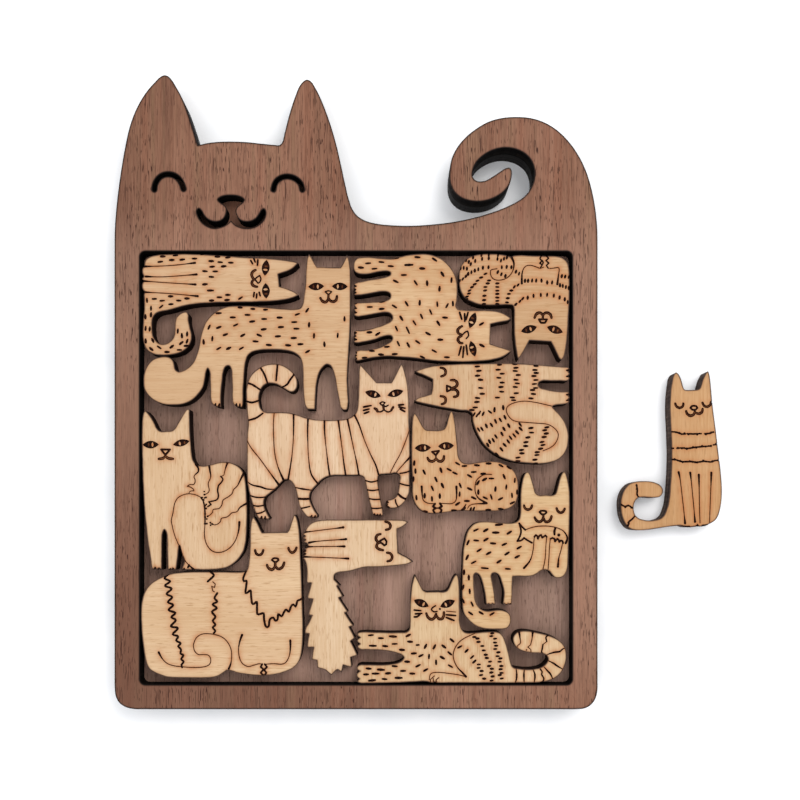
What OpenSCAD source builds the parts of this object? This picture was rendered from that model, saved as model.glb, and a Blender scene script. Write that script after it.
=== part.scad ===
// Cat tray puzzle: a flat wooden cat whose square belly is a shallow tray, and
// thirteen flat wooden cats, twelve packed in the tray and one lying beside it.
// Lengths are in millimetres. X runs to the big cat's left ear side, Y runs up
// towards its ears and Z runs up out of the tray. The origin is the centre of
// the square pocket, on the underside of the base.

/* [Sheets] */
// thickness of the plain back sheet of the tray
base_t = 4.7625; // [3:0.0125:6.5]
// thickness of the sheet with the square pocket in it
frame_t = 4.7625; // [3:0.0125:6.5]
// thickness of every small cat
cat_t = 4.7625; // [3:0.0125:6.5]

/* [Drawing] */
// size of one square of the drawing grid of the tray and of the packed cats
grid = 0.32; // [0.25:0.005:0.4]
// size of one square of the drawing grid of the loose cat
loose_grid = 0.326; // [0.25:0.001:0.4]
// straight steps between two neighbouring points of a curve
steps = 3; // [1:1:6]

/* [Pocket] */
// width of the square pocket
pocket_w = 138.4; // [130:0.1:145]
// height of the square pocket
pocket_h = 138.7; // [130:0.1:145]
// radius of the pocket's corners
pocket_r = 1.8; // [0.5:0.1:5]

/* [Face] */
// width of the cut of the left eye
eye_l_w = 1.46; // [0.8:0.02:2.4]
// width of the cut of the right eye
eye_r_w = 1.38; // [0.8:0.02:2.4]

/* [Loose cat] */
// how far the loose cat is slid sideways from the place it is drawn at
loose_x = 0; // [-5:0.1:60]
// how far the loose cat is slid up or down from the place it is drawn at
loose_y = 0; // [-60:0.1:60]

/* [Hidden] */
gx = 356; // pocket centre on the drawing grid, counted from its left edge
gy = 468; // pocket centre on the drawing grid, counted down from its top edge
vx = 392; // centre the loose cat's finer grid is laid about
vy = 520;
tray_t = base_t + frame_t;

// ---------------------------------------------------------------- curves
// A closed outline is a list of [x, y] grid points, x to the right and y down.
// A third value of 1 marks a sharp corner; every other point is passed smoothly.
function cr(p) = len(p) > 2 && p[2] == 1;
function xy(p) = [p[0], p[1]];
// slope at point b on its way from a to c, weighted by the two distances
function slope(a, b, c) =
  let (d1 = max(norm(b - a), 0.01), d2 = max(norm(c - b), 0.01))
  ((b - a) / d1 * d2 + (c - b) / d2 * d1) / (d1 + d2);
function herm(a, ta, b, tb, u) =
  let (u2 = u * u, u3 = u2 * u)
  (2 * u3 - 3 * u2 + 1) * a + (u3 - 2 * u2 + u) * ta
  + (3 * u2 - 2 * u3) * b + (u3 - u2) * tb;
function smooth(p) =
  let (n = len(p))
  [for (i = [0 : n - 1])
    let (
      o = xy(p[(i + n - 1) % n]), a = xy(p[i]),
      b = xy(p[(i + 1) % n]), c = xy(p[(i + 2) % n]),
      d = norm(b - a),
      ta = (cr(p[i]) ? (b - a) / max(d, 0.01) : slope(o, a, b)) * d,
      tb = (cr(p[(i + 1) % n]) ? (b - a) / max(d, 0.01) : slope(a, b, c)) * d,
      m = (cr(p[i]) && cr(p[(i + 1) % n])) ? 1 : (d < 2.2 ? 2 : steps)
    )
    for (k = [0 : m - 1]) herm(a, ta, b, tb, k / m)];
function mm(p) = [for (q = smooth(p)) [(q[0] - gx) * grid, (gy - q[1]) * grid]];
function mm_loose(p) = [for (q = smooth(p))
  [(vx - gx) * grid + (q[0] - vx) * loose_grid,
   (gy - vy) * grid + (vy - q[1]) * loose_grid]];

// An open stroke of constant width w, in millimetres, with round ends.
function open_curve(p) =
  let (n = len(p))
  [for (i = [0 : n - 2])
    let (
      a = p[i], b = p[i + 1],
      o = i > 0 ? p[i - 1] : 2 * a - b,
      c = i < n - 2 ? p[i + 2] : 2 * b - a,
      d = norm(b - a), ta = slope(o, a, b) * d, tb = slope(a, b, c) * d
    )
    for (k = [0 : 2]) herm(a, ta, b, tb, k / 3), p[n - 1]];
function dirs(c) = let (n = len(c)) [for (i = [0 : n - 1])
  let (d = c[min(i + 1, n - 1)] - c[max(i - 1, 0)]) d / norm(d)];
function stroke(p, w) =
  let (
    c = [for (q = open_curve(p)) [(q[0] - gx) * grid, (gy - q[1]) * grid]],
    t = dirs(c), n = len(c), r = w / 2
  )
  concat(
    [for (i = [0 : n - 1]) c[i] + r * [-t[i][1], t[i][0]]],
    [for (a = [60, 30, 0, -30, -60]) c[n - 1]
      + r * (t[n - 1] * cos(a) + [-t[n - 1][1], t[n - 1][0]] * sin(a))],
    [for (i = [n - 1 : -1 : 0]) c[i] - r * [-t[i][1], t[i][0]]],
    [for (a = [60, 30, 0, -30, -60]) c[0]
      - r * (t[0] * cos(a) + [-t[0][1], t[0][0]] * sin(a))]);

module sheet(pts, z, t) {
  translate([0, 0, z]) linear_extrude(height = t) polygon(pts);
}

// ------------------------------------------------------- big cat outline
BIG = [[114.6, 250], [114.9, 228], [116.6, 206], [118.8, 187], [121.6, 168],
  [125.4, 146], [130, 126], [134.6, 113], [140, 102], [145, 94], [150, 87.5],
  [155.5, 81.6], [160, 77.2], [164.7, 75.2], [168, 76.2], [171, 79],
  [176.5, 87.6], [182, 98], [188, 114], [193.4, 131], [197.8, 145.4, 1],
  [208, 143], [220, 141.8], [232, 141.6], [247, 142.2], [262, 143.8],
  [275, 145], [279.4, 145.2], [281.6, 143.4], [284.4, 134], [287.4, 122],
  [292, 106], [296, 94.4], [300, 85.4], [304, 81], [307, 79.6], [310.4, 81],
  [315.6, 88.4], [320.6, 98.4], [326.6, 113.4], [332, 129.4], [337, 147.4],
  [341, 165], [345, 183.4], [349, 200], [352.6, 209.6], [358, 216.4],
  [366, 221], [377, 223.8], [393.6, 225.4], [411.4, 225.8], [429, 224.8],
  [451, 222.4], [468.6, 219], [488, 213.8], [503, 208.4], [516, 202.2],
  [524.6, 196.4], [529.4, 190.6], [533.4, 182], [534.5, 172], [532, 162],
  [525.6, 154.2], [516.4, 149.4], [505, 147.7], [494, 149.8], [484, 155],
  [476.6, 162.2], [472.7, 171], [472.6, 176.6], [475.6, 180.4], [480.4, 181.5],
  [486, 180.4], [492.6, 176.8], [500, 171.8], [506, 168.2], [509.8, 167.8],
  [511.8, 171], [511.6, 177], [509.6, 184], [504.6, 190.8], [496, 197],
  [484, 201], [472.4, 201.2], [461.6, 198], [454, 191.6], [450.2, 183.4],
  [449.6, 172], [451.6, 159], [457.4, 147.2], [466, 137], [476, 129],
  [488, 122], [501, 118.2], [515, 117], [530, 118], [543, 121.8],
  [556, 129.4], [567, 139.6], [577, 153], [585, 168.4], [590.4, 184.6],
  [594.4, 203], [596.6, 220], [597.3, 230], [597.5, 240], [597.5, 252],
  [597.5, 400], [597.5, 672], [597.5, 682], [597.3, 691], [595.4, 698.6],
  [591.4, 704.4], [585, 708.2], [576, 709.2], [566, 709.2], [554, 709.2],
  [356, 709.2], [156, 709.2], [144, 709.2], [134, 709], [125, 706.8],
  [118.8, 702.2], [115.6, 695.4], [114.7, 687], [114.6, 676],
  [114.6, 664], [114.6, 400], [114.6, 270]];

// nose, stem and mouth of the big cat, one cut
NOSE = [[217.8, 199.6], [220.8, 197], [225.4, 195.7], [231.2, 195.4],
  [236.9, 195.9], [241.4, 197.5], [244, 199.8], [242.2, 202.6],
  [238.8, 205.2], [236.4, 207.8], [235.5, 211], [236.4, 215],
  [238.3, 218.5], [241.6, 220.8], [247, 221.8], [252.7, 220.6],
  [256.5, 218], [259.6, 213.7], [261.9, 210], [263.8, 208.9],
  [265.4, 211.4], [265.2, 216], [262.9, 220.8], [259.1, 224.5],
  [254, 227.2], [247.6, 228.3], [241.4, 227.6], [236.4, 225.6],
  [232.8, 222.6], [231, 220.4, 1], [228.9, 222.6], [224.1, 225.8],
  [219, 227.6], [213.2, 228.2], [207.4, 226.3], [202.9, 223.2],
  [199.6, 219.4], [197.4, 214.9], [196.7, 210.8], [198.8, 208.6],
  [201.1, 210.5], [203.6, 214.9], [206.8, 218.6], [211.3, 221],
  [216.4, 221.7], [220.9, 220.6], [224.1, 218], [226, 214.2],
  [226.7, 210.4], [226.3, 207.6], [224.1, 205.1], [220.9, 202.9]];

EYE_L = [[154.4, 189.6], [154.9, 185.2], [156.8, 180.8], [160, 177],
  [164.3, 174.8], [169, 174.3], [174.1, 175.5], [178.5, 178.7],
  [181.8, 183.8], [183.6, 189]];
EYE_R = [[273.5, 189.6], [274.5, 184.9], [277.1, 180.5], [281.5, 177.6],
  [286.7, 176.5], [291.8, 177.2], [296.9, 179.8], [300.6, 183.8],
  [302.3, 189.8]];

module tray_base() {
  color([0.50, 0.37, 0.31]) sheet(mm(BIG), 0, base_t);
}

module pocket() {
  w = pocket_w / 2; h = pocket_h / 2; r = pocket_r;
  polygon(concat(
    [for (a = [0 : 15 : 90]) [w - r + r * cos(a), h - r + r * sin(a)]],
    [for (a = [90 : 15 : 180]) [-w + r + r * cos(a), h - r + r * sin(a)]],
    [for (a = [180 : 15 : 270]) [-w + r + r * cos(a), -h + r + r * sin(a)]],
    [for (a = [270 : 15 : 360]) [w - r + r * cos(a), -h + r + r * sin(a)]]));
}

module tray_frame() {
  color([0.56, 0.42, 0.36])
  translate([0, 0, base_t]) linear_extrude(height = frame_t)
  difference() {
    polygon(mm(BIG));
    pocket();
    polygon(mm(NOSE));
    polygon(stroke(EYE_L, eye_l_w));
    polygon(stroke(EYE_R, eye_r_w));
  }
}

// ---------------------------------------------------------- the small cats
// lies along the top left, head to the right, tail hooked below
LYING = [[144.3, 266, 1], [145.4, 260.5], [148, 257.8], [154.6, 255.4],
  [167.7, 254.4], [184, 254], [200.4, 254.4], [222, 255.6], [244, 257.3],
  [260, 257.8], [276.7, 259.2], [287.6, 260.5], [296, 262], [298.4, 263, 1],
  [292, 268.7], [285.4, 271.8], [278.1, 274.2, 1], [278.9, 279.6],
  [279.4, 286.4, 1], [287.6, 288.9], [294, 291.6], [298.6, 295, 1],
  [293, 297.6], [282, 300.1], [269, 301.4], [255, 301.9], [233, 302.3],
  [211, 302.8], [200.4, 303.4], [189.5, 304.7], [178.6, 307.4],
  [167.7, 310.3], [160, 311.8], [155.7, 313.9], [153, 317.7], [152, 324.3],
  [152.2, 330.8], [153.7, 337.4], [156.8, 342], [160, 343.9],
  [164.4, 344.1], [168.8, 342.4], [172.6, 338.5], [174.5, 333],
  [175, 323.2], [176.4, 317.7], [179.7, 313.9], [183.6, 311.9],
  [186.6, 311.8], [188.1, 313.6], [188.4, 320], [190, 327.6],
  [191.7, 334], [191.6, 339.5], [189, 345.5], [183, 351], [176.4, 353.7],
  [169, 355], [161, 355.3], [154.6, 354.4], [148, 350.8], [144.8, 346],
  [143.2, 339.5], [142.8, 328.6], [143.5, 317.7], [144.3, 309],
  [144, 299], [143.9, 294], [144.6, 291.8, 1], [142.4, 288.6],
  [142.2, 284], [143.8, 281, 1], [142.3, 279], [143.9, 276.4, 1],
  [142.3, 273], [142.3, 269.2]];

// stands up, both ears at the top, a hooked tail on the left, two legs
SPOTS = [[309, 254, 1], [307.2, 258.5], [306, 268], [305.5, 278],
  [304.7, 289.5], [303.7, 298], [302.3, 304.3], [300.2, 307.8],
  [297, 308.8], [286, 308.8], [272, 307.8], [258, 306.5], [244, 305.8],
  [234, 305.8], [225.4, 306.8], [218.4, 310], [211.3, 315], [205.7, 322],
  [202.2, 330.4], [200, 339], [198.6, 347.3], [196.5, 354.4],
  [193.7, 361.4], [188.8, 367], [182.4, 371], [178.2, 371.6],
  [175.6, 369.6], [174.4, 365], [173, 360.7], [170.4, 357.9],
  [166.2, 356.6], [160.6, 356.7], [153.5, 359], [148, 364.2],
  [144.3, 372.7], [143.4, 381.2], [144.3, 389], [148.6, 396],
  [155, 401], [163.4, 404], [173.3, 405], [183, 404], [191.6, 400.2],
  [198.6, 393.8], [203, 386.8], [205, 379], [206.2, 371.3],
  [207.7, 368.2], [209.4, 371.3], [210, 381], [210.2, 391],
  [210.6, 399.5], [212, 403.7], [215, 405.8], [221.2, 407.2, 1],
  [221, 402.3], [221.2, 392.4], [222.3, 381.2], [223.6, 371],
  [226.1, 366.4], [228.8, 365.8], [231, 369], [231.8, 375],
  [232.2, 385.4], [232, 396.7], [232.8, 402.6], [235.3, 405.8],
  [243.2, 407.4, 1], [243.1, 399.5], [243.5, 385.4], [244.5, 371.3],
  [245.7, 361.4], [248.2, 355], [252.6, 351.8], [259.3, 350.2],
  [272, 349.7], [286, 350.5], [294.5, 353], [299.5, 357.2],
  [302, 363.4], [302.7, 372.7], [303, 385.4], [303.7, 398],
  [304.8, 405], [307.2, 409.2, 1], [315.1, 409.4, 1], [315.4, 402.3],
  [316, 391], [317, 381], [319.2, 372.7], [322.7, 367.2], [326.8, 364.4],
  [330.5, 366], [333.3, 372], [335.4, 381], [337, 391], [339, 401],
  [340.4, 406.8], [342.8, 409.6], [346.6, 409.6], [348, 406],
  [347.8, 391], [347.4, 377], [348.1, 360], [349.5, 341.7],
  [350.4, 320.5], [350.6, 299.4], [350.6, 278], [350, 265.5],
  [348.6, 258.5], [347, 254.6, 1], [345.3, 258.5], [342.5, 264],
  [340.4, 267.4, 1], [317.1, 267.1, 1], [314.3, 262.7], [311.5, 257.6]];

// lies on its side, four feet to the left, head to the right
SIDEWAYS = [[353.4, 265.5], [354.4, 260.9], [357.4, 258], [362.7, 257.2],
  [371.2, 257.2], [379.6, 258], [388, 258.6], [394.4, 258.3],
  [400.8, 256.6], [409.2, 254.8], [417.7, 254], [426.2, 254],
  [433.6, 255.4], [441, 258.6], [447.3, 263.4], [452, 269.2],
  [455.6, 276.6], [457.2, 284], [457.5, 292.4], [457.2, 299.8],
  [456.3, 307], [458, 309.4, 1], [466.3, 310.2], [477, 310.2],
  [489.6, 310.4], [498, 311.5], [504.4, 313.8], [511.4, 318.7, 1],
  [508.7, 320.3], [500.2, 322], [490.6, 324.2, 1], [490.3, 343.7, 1],
  [496, 345.8], [503.4, 348], [511.4, 350.9, 1], [503.4, 356.6],
  [492.8, 359.6], [479, 361.2], [464.2, 361.8], [449.4, 361.5],
  [434.6, 360.7], [422, 359], [409.2, 357.7], [399.7, 357], [390.2, 356.2],
  [381.7, 356.5], [371.2, 357.9], [362.7, 359.6], [357, 360.6],
  [354.9, 359.6], [356, 358, 1], [354.7, 356], [356, 353.8, 1],
  [355.4, 351.8], [357.4, 350.5], [366, 350], [371.2, 349.4],
  [379.6, 347.2], [386.6, 343.9], [391.4, 340.6], [392.4, 338],
  [391.2, 336.1], [388, 335.5], [382.8, 336.5], [376.4, 339],
  [369, 341], [362.7, 342.1], [356.3, 342.9], [353.6, 341.8],
  [355, 339, 1], [353.6, 336.6], [355, 334.2, 1], [353.8, 332.4],
  [355, 330.8], [360.6, 330.3], [367, 329.6], [376.4, 327.2],
  [384.9, 324.2], [390.4, 321.4], [392.3, 318.8], [392, 315.8],
  [390.2, 313.6], [387, 312.5], [380.7, 312.9], [371.2, 314.6],
  [362.7, 315.9], [356.4, 316.4], [353.8, 314.6], [355.4, 312, 1],
  [353.8, 309.6], [355.4, 307.2, 1], [354, 304.9], [355.4, 303.2],
  [360.6, 302.5], [371.2, 302], [379.6, 301.6], [387, 300.2],
  [390, 298.2], [390.7, 295.6], [389.7, 293.2], [387, 291.8],
  [382.8, 291.5], [375.4, 292.6], [366, 294.3], [358.5, 295.2],
  [354.4, 294.8], [353.6, 293], [355, 290.8, 1], [353.6, 288.4],
  [355, 286, 1], [353.8, 284.4], [355.8, 282.8], [362.7, 281.4],
  [371.2, 279.6], [380.7, 278], [387, 276.4], [390.4, 274.4],
  [390.6, 272.6], [389, 271.5], [385, 271.2], [378.6, 271.9],
  [371.2, 273.5], [363.8, 274.3], [358.5, 273.6], [355, 271.6],
  [353.6, 268.8]];

// hangs head down in the top right corner
UPSIDE = [[458.9, 279.5], [459, 273.4], [459.8, 268.8], [461.9, 264.2],
  [465.2, 260], [469.6, 256.9], [475.8, 255], [482.7, 254.1],
  [490.4, 253.9], [498, 254.2], [504.2, 254.9], [508.8, 256.2],
  [511.7, 257.9, 1], [513, 256], [516.5, 255.4], [532, 255.7],
  [545, 256], [556, 256.2], [562, 257.6], [566.1, 260.7], [568.3, 265],
  [569.2, 271], [569.5, 282.6], [569.5, 294.2], [569.2, 305.7],
  [568.5, 317.2], [567.9, 328.8], [567, 340.3], [565.6, 350.3],
  [563.5, 357.6], [561.5, 360, 1], [559.6, 358.6], [557.3, 354.6],
  [554.2, 348], [551, 341.6, 1], [529.6, 340.5, 1], [526.5, 346.4],
  [522.7, 353], [518.5, 359.6, 1], [517.2, 356.6], [516.2, 351],
  [515, 343], [514.3, 332.6], [514.1, 321], [514.2, 313.4],
  [514, 308.8], [513, 305.4], [508.8, 304.6], [501.2, 304.9],
  [493.5, 305.1], [485.8, 305], [479.6, 304.5], [474.2, 302.8],
  [468.8, 300.5], [465, 298], [462.2, 294.6], [460.4, 290.6],
  [459.2, 285.4]];

// walks to the right with its tail curled up over its back
WALKER = [[360, 363.6, 1], [365.6, 370], [372.4, 377.6], [376.5, 382.4, 1],
  [391.2, 382.4, 1], [394.8, 376.3], [398.2, 369], [401.5, 362.8, 1],
  [404, 368.8], [406.4, 377.6], [408.1, 388.7], [408.9, 400],
  [409.2, 411], [409.2, 422.3], [409.7, 433.5], [410, 450.4],
  [410, 461.6], [409.7, 472.8], [409.7, 484], [409.4, 492],
  [407.2, 497.5], [404.6, 502], [401, 505.6], [397, 507.7],
  [392.6, 508.4], [388, 507.8], [385.4, 506.2], [387.3, 504.2, 1],
  [385.8, 502], [387, 500.2], [391, 499.3], [394.8, 497.4],
  [397.4, 494], [398.4, 489.6], [399.3, 482], [399.5, 475.6],
  [396.8, 473.2], [390.3, 473.7], [383.6, 474.3], [379.2, 475],
  [378.1, 479.5], [378.7, 486.3], [379.7, 493], [380.8, 499.7],
  [382.2, 506.4], [383, 512], [383, 515.2], [380.4, 516], [378.6, 515.4, 1],
  [377, 516.1], [375.4, 515.4, 1], [373.4, 515.2], [371.3, 509.8],
  [369.6, 503], [367.9, 495.2], [366.2, 487.4], [365, 480.6],
  [364, 477.3], [361.2, 475.6], [352.2, 475.5], [341, 475.5],
  [330.6, 475.8], [325.3, 477.5], [320.8, 480.6], [317, 484.8],
  [313, 489], [310.6, 492.6], [309.8, 496.4], [310.3, 500.8],
  [312.4, 506], [315, 511], [317.8, 516.2], [316.2, 517.6],
  [314.4, 517, 1], [312.6, 518], [311, 517, 1], [307.6, 517.2],
  [304.5, 513.9], [301.7, 510.2], [299.5, 506.2], [298.1, 500.8],
  [296.9, 495.2], [295.3, 488.7], [293.1, 483.9], [290.3, 480.9],
  [287, 479.7], [284, 480], [281.4, 482.2], [278, 486], [273.6, 490.4],
  [269.2, 493.8], [265.2, 497.4], [263.9, 502], [264.2, 506.4],
  [265.9, 511], [268.4, 515.6], [269.6, 518.2], [267.4, 519.2],
  [265.4, 518.4, 1], [263.6, 519.5], [261.8, 518.6, 1], [259.2, 518.8],
  [256.5, 515.2], [254.2, 509.6], [252, 503], [249.9, 495.4],
  [248.6, 489.6], [247.2, 481.8], [246.9, 472.8], [246.9, 461.6],
  [246.9, 450.4], [246.9, 440.3], [247.3, 431.3], [248.1, 422.3],
  [247.1, 413.3], [246.6, 404.4], [246, 396.5], [246.2, 388.7],
  [247.7, 382.2], [250.4, 376], [254.8, 371], [260.3, 367.1],
  [267, 364.5], [274.8, 363.7], [281.5, 364.8], [288, 368.2],
  [293.1, 372.6], [296.4, 377.6], [297.4, 383], [296.6, 388.2],
  [293.8, 391.4], [290.5, 391.8], [287, 390.2], [282.6, 387.5],
  [278, 384.8], [272.5, 383.3], [267.5, 383.6], [263, 386.4],
  [260.2, 391], [259, 396.5], [259.4, 403.2], [261, 408.6],
  [264.4, 411.6], [273.7, 412.2], [282.6, 412.2], [290.5, 413],
  [298.3, 415.2], [307.3, 418.1], [316.3, 419.7], [327.5, 420],
  [338.7, 419.8], [346.6, 418.8], [352.2, 416.2], [355.8, 412.4],
  [357.5, 406.6], [358, 400], [358.6, 388.7], [358.7, 377.4],
  [358.9, 369.4]];

// curled up asleep, head to the left, tail wound round below
CURLED = [[414.6, 370.8, 1], [419.8, 369.6], [426.2, 367.5], [433.7, 365.8],
  [443.3, 364.8], [456.2, 364.1], [472.2, 363.7], [488.3, 363.3],
  [504.4, 363.2], [520.4, 363.5], [536.5, 364.6], [552.5, 365.8],
  [563.2, 366.8], [568.4, 367.4], [569.6, 369], [568.4, 371.6, 1],
  [569.7, 373.6], [568.4, 375.8, 1], [569.5, 378.4], [568.4, 380.2],
  [560, 380.7], [549.3, 380.9], [542.2, 380.8], [539, 382.6],
  [538.2, 385], [540.2, 387.6], [546, 389.4], [554.7, 390.9],
  [563.2, 391.6], [568, 392], [569.6, 393.4], [568.4, 395.6, 1],
  [569.8, 397.4], [568.4, 399.4, 1], [569.5, 401.4], [568, 403],
  [562.3, 404.4], [556, 405], [552.6, 406.6], [554.7, 409.4],
  [559.8, 414.6], [564, 420.4], [567.1, 427.8], [568.5, 436.4],
  [568, 445], [566, 451.2], [562, 456.8], [556.6, 460.5],
  [550.2, 462.5], [541.8, 463.6], [531, 463.4], [520.4, 462.5],
  [509.9, 460.5], [502.4, 457.9], [496, 454.6], [489.6, 450],
  [483.2, 443.7], [478, 435.1], [474.2, 426.6], [472.6, 419.4],
  [472, 413.6], [469, 411.2], [461.5, 410.5], [450.8, 408.8],
  [440, 407], [429.4, 404.8], [420.8, 402.8], [415.6, 401.2],
  [414.4, 400.2, 1], [418.7, 397.7], [425, 395.8], [431.2, 393.9, 1],
  [432.4, 387], [432.5, 379.4, 1], [428.3, 377.2], [422, 374.4],
  [417.4, 372.7]];

// sits like a loaf, ears at the top left
LOAF = [[414.5, 412.4, 1], [417, 415.6], [420.8, 422.5], [423.4, 427.2],
  [426, 429.6], [430.4, 430], [440.6, 430], [444, 428.9], [446, 425.5],
  [447.6, 419.4], [449.2, 414.7], [450.6, 411.5], [452, 411], [453.1, 413.4],
  [454.4, 418.6], [455.6, 426.4], [456.6, 435], [457.3, 442.8],
  [457.9, 450], [458.5, 455.6], [460, 459.6], [462.9, 462.5],
  [467.3, 463.6], [472.8, 463], [480.7, 461.8], [488.6, 461.2],
  [495.7, 461.4], [501.6, 462.6], [507.2, 465], [512.2, 468.8],
  [515.7, 473.4], [517.6, 478.8], [518.4, 485.4], [518.4, 492.5],
  [517.4, 498.6], [514.9, 503.9], [510.5, 507.8], [505, 509.8],
  [498.8, 510.8], [487.8, 511.1], [476, 511], [468, 510.8],
  [460.2, 510.9], [452.3, 511.6], [444.4, 512.7], [438, 513.5],
  [431, 513.7], [425.5, 512.6], [420.8, 510.3], [417, 506.5],
  [413.9, 501], [412.4, 495], [412.1, 487], [412.3, 479],
  [411.7, 468], [411.4, 456], [411.4, 444.4], [411.7, 432.6],
  [412.1, 422.3], [413, 416]];

// sits upright on the left, its hip and tail to the right
SITTING = [[145.2, 410.6], [147.2, 412.2], [150.5, 416.2], [153.7, 421.9],
  [157.2, 428.8], [159.4, 430.7], [166.9, 431], [172.2, 430.6],
  [174.7, 428.5], [177.9, 423], [181.2, 417.5], [184.5, 412.4],
  [187.2, 409.3], [189, 409.3], [189.5, 413.4], [189.8, 424.1],
  [190.3, 435.1], [190.9, 446.1], [191.6, 453], [192.7, 459],
  [194.4, 462.3], [196.8, 464.6], [200.4, 465.6], [205.5, 465.7],
  [211, 464.7], [216.5, 463], [222, 462], [228.6, 462.2], [234.1, 463.9],
  [239.3, 467.2], [242.5, 471], [244.5, 476], [245.6, 481.8],
  [246.3, 490.2], [246.9, 501.2], [247.1, 512.2], [247, 523.2],
  [246.6, 534.3], [245.6, 543.1], [244.2, 549.6], [241.5, 555],
  [237.2, 560.4], [231.7, 564.8], [225.3, 567.9], [218.7, 569.1],
  [212.1, 569.5], [203, 569.7], [194.4, 569.7], [186, 569.7],
  [181.6, 569.6, 1], [182.6, 566], [184.2, 562], [184.2, 559.4],
  [182.4, 555.4], [180.6, 550.6], [179.4, 545.6], [178.6, 550],
  [178, 556.3], [177.2, 562], [176.6, 566.6], [176, 569.7, 1],
  [173.4, 569.7, 1], [172.6, 568.2, 1], [171.6, 569.7, 1],
  [167.7, 569.7, 1], [167.6, 561.8], [167.3, 550.8], [166.9, 539.8],
  [166.1, 532.4], [164.4, 529.6], [162.9, 532.4], [162.1, 539.8],
  [161.9, 550.8], [161.9, 561.8], [161.9, 569.7, 1], [159.8, 569.7, 1],
  [159, 568.2, 1], [158, 569.7, 1], [156.2, 569.7, 1], [155, 567.8, 1],
  [153.8, 569.7, 1], [151.8, 569.6, 1], [150.9, 562.9], [150, 556.3],
  [149, 549.7], [147.8, 542], [146.6, 532], [145.6, 523.2],
  [144.6, 512.2], [143.9, 501.2], [143.3, 490.2], [142.8, 479.2],
  [142.5, 468.2], [142.2, 457.2], [141.9, 446.1], [141.8, 435.1],
  [142.1, 424.1], [142.7, 416.4], [143.8, 412.2]];

// stands upright on the right, holding a fish, tail swept under its feet
FISH = [[527.5, 472], [529.3, 473.1], [531.2, 477], [532.9, 482.7],
  [534.6, 489.1], [535.8, 492.8], [537.8, 494.6], [545.9, 494.8],
  [552.8, 495], [555.2, 493.8], [556.6, 490.5], [558.2, 484.3],
  [560.4, 477], [562.5, 472.9], [564.1, 471.6], [565.6, 473],
  [567.2, 477], [568.4, 482.4], [569.3, 488.8], [569.8, 497.1],
  [570, 507.8], [569.6, 518.5], [569.3, 529.2], [568.9, 539.9],
  [568.6, 550.5], [568.3, 561.2], [567.5, 568.7], [565.4, 573.8],
  [562, 577.2], [558.2, 578], [554.6, 577.2], [551.5, 574],
  [549.2, 571.1], [546.6, 570], [543.1, 570], [540.5, 571],
  [537.3, 573.5], [533.1, 575.6], [528.8, 576.4], [519.2, 576.5],
  [512.8, 576.5, 1], [512.7, 579.4], [512.5, 587.9], [512.1, 598.6],
  [511.6, 604.6, 1], [509, 604.6, 1], [508.2, 603.4, 1], [507.4, 604.8, 1],
  [505.4, 604.8, 1], [504.6, 603.6, 1], [503.8, 604.8, 1], [502.9, 604.8, 1],
  [503.5, 598.6], [503.9, 593.3], [503.1, 587.7], [501.5, 582.3],
  [499.9, 577.4], [497.8, 574.3], [495.1, 573.1], [492.4, 573.6],
  [491.4, 575.7], [491.9, 579.4], [492.9, 584.7], [494, 590.1],
  [494.8, 595.4], [495.2, 600.7], [495.4, 604.8, 1], [493.6, 604.9, 1],
  [492.6, 603.6, 1], [491.6, 605, 1], [489.4, 605, 1], [488.6, 603.8, 1],
  [487.6, 605, 1], [486, 605, 1], [485.4, 598.6], [484.7, 593.3],
  [483.3, 586.9], [481.7, 581], [480.1, 576.8], [477.9, 574.1],
  [475.5, 573.3], [474.1, 574.9], [473.9, 580.5], [474.2, 589],
  [474.7, 595.4], [475.6, 600.7], [477.5, 605], [480.2, 608.3],
  [483.8, 610.2], [488.1, 610.9], [493.5, 610.2], [499.9, 609.9],
  [504.2, 610.7], [508.3, 612.5], [510.4, 615.3], [510.9, 618.9],
  [510.6, 623], [509.3, 626], [507, 628.2], [503.6, 629.1],
  [497.8, 629.3], [490.3, 629.3], [483.8, 628.5], [477.6, 626.5],
  [472.3, 623.4], [467.1, 618.7], [464, 614.4], [462.5, 609.2],
  [462, 601.8], [461.7, 593.3], [461.9, 582.6], [462.2, 571.9],
  [462.6, 561.2], [463.2, 550.5], [464.4, 543.1], [465.8, 536.6],
  [468.1, 530.2], [471.3, 526.2], [474.3, 523.6], [478.5, 522],
  [483.8, 521.6], [492.4, 521.9], [501, 522.6], [508.5, 523],
  [513.8, 522.7], [517.2, 521.2], [519.3, 518.5], [520.1, 515.3],
  [520.4, 507.8], [520.5, 500.3], [520.7, 492.8], [521.3, 486.4],
  [522.3, 481.1], [523.6, 476.4], [525.4, 473]];

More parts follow.
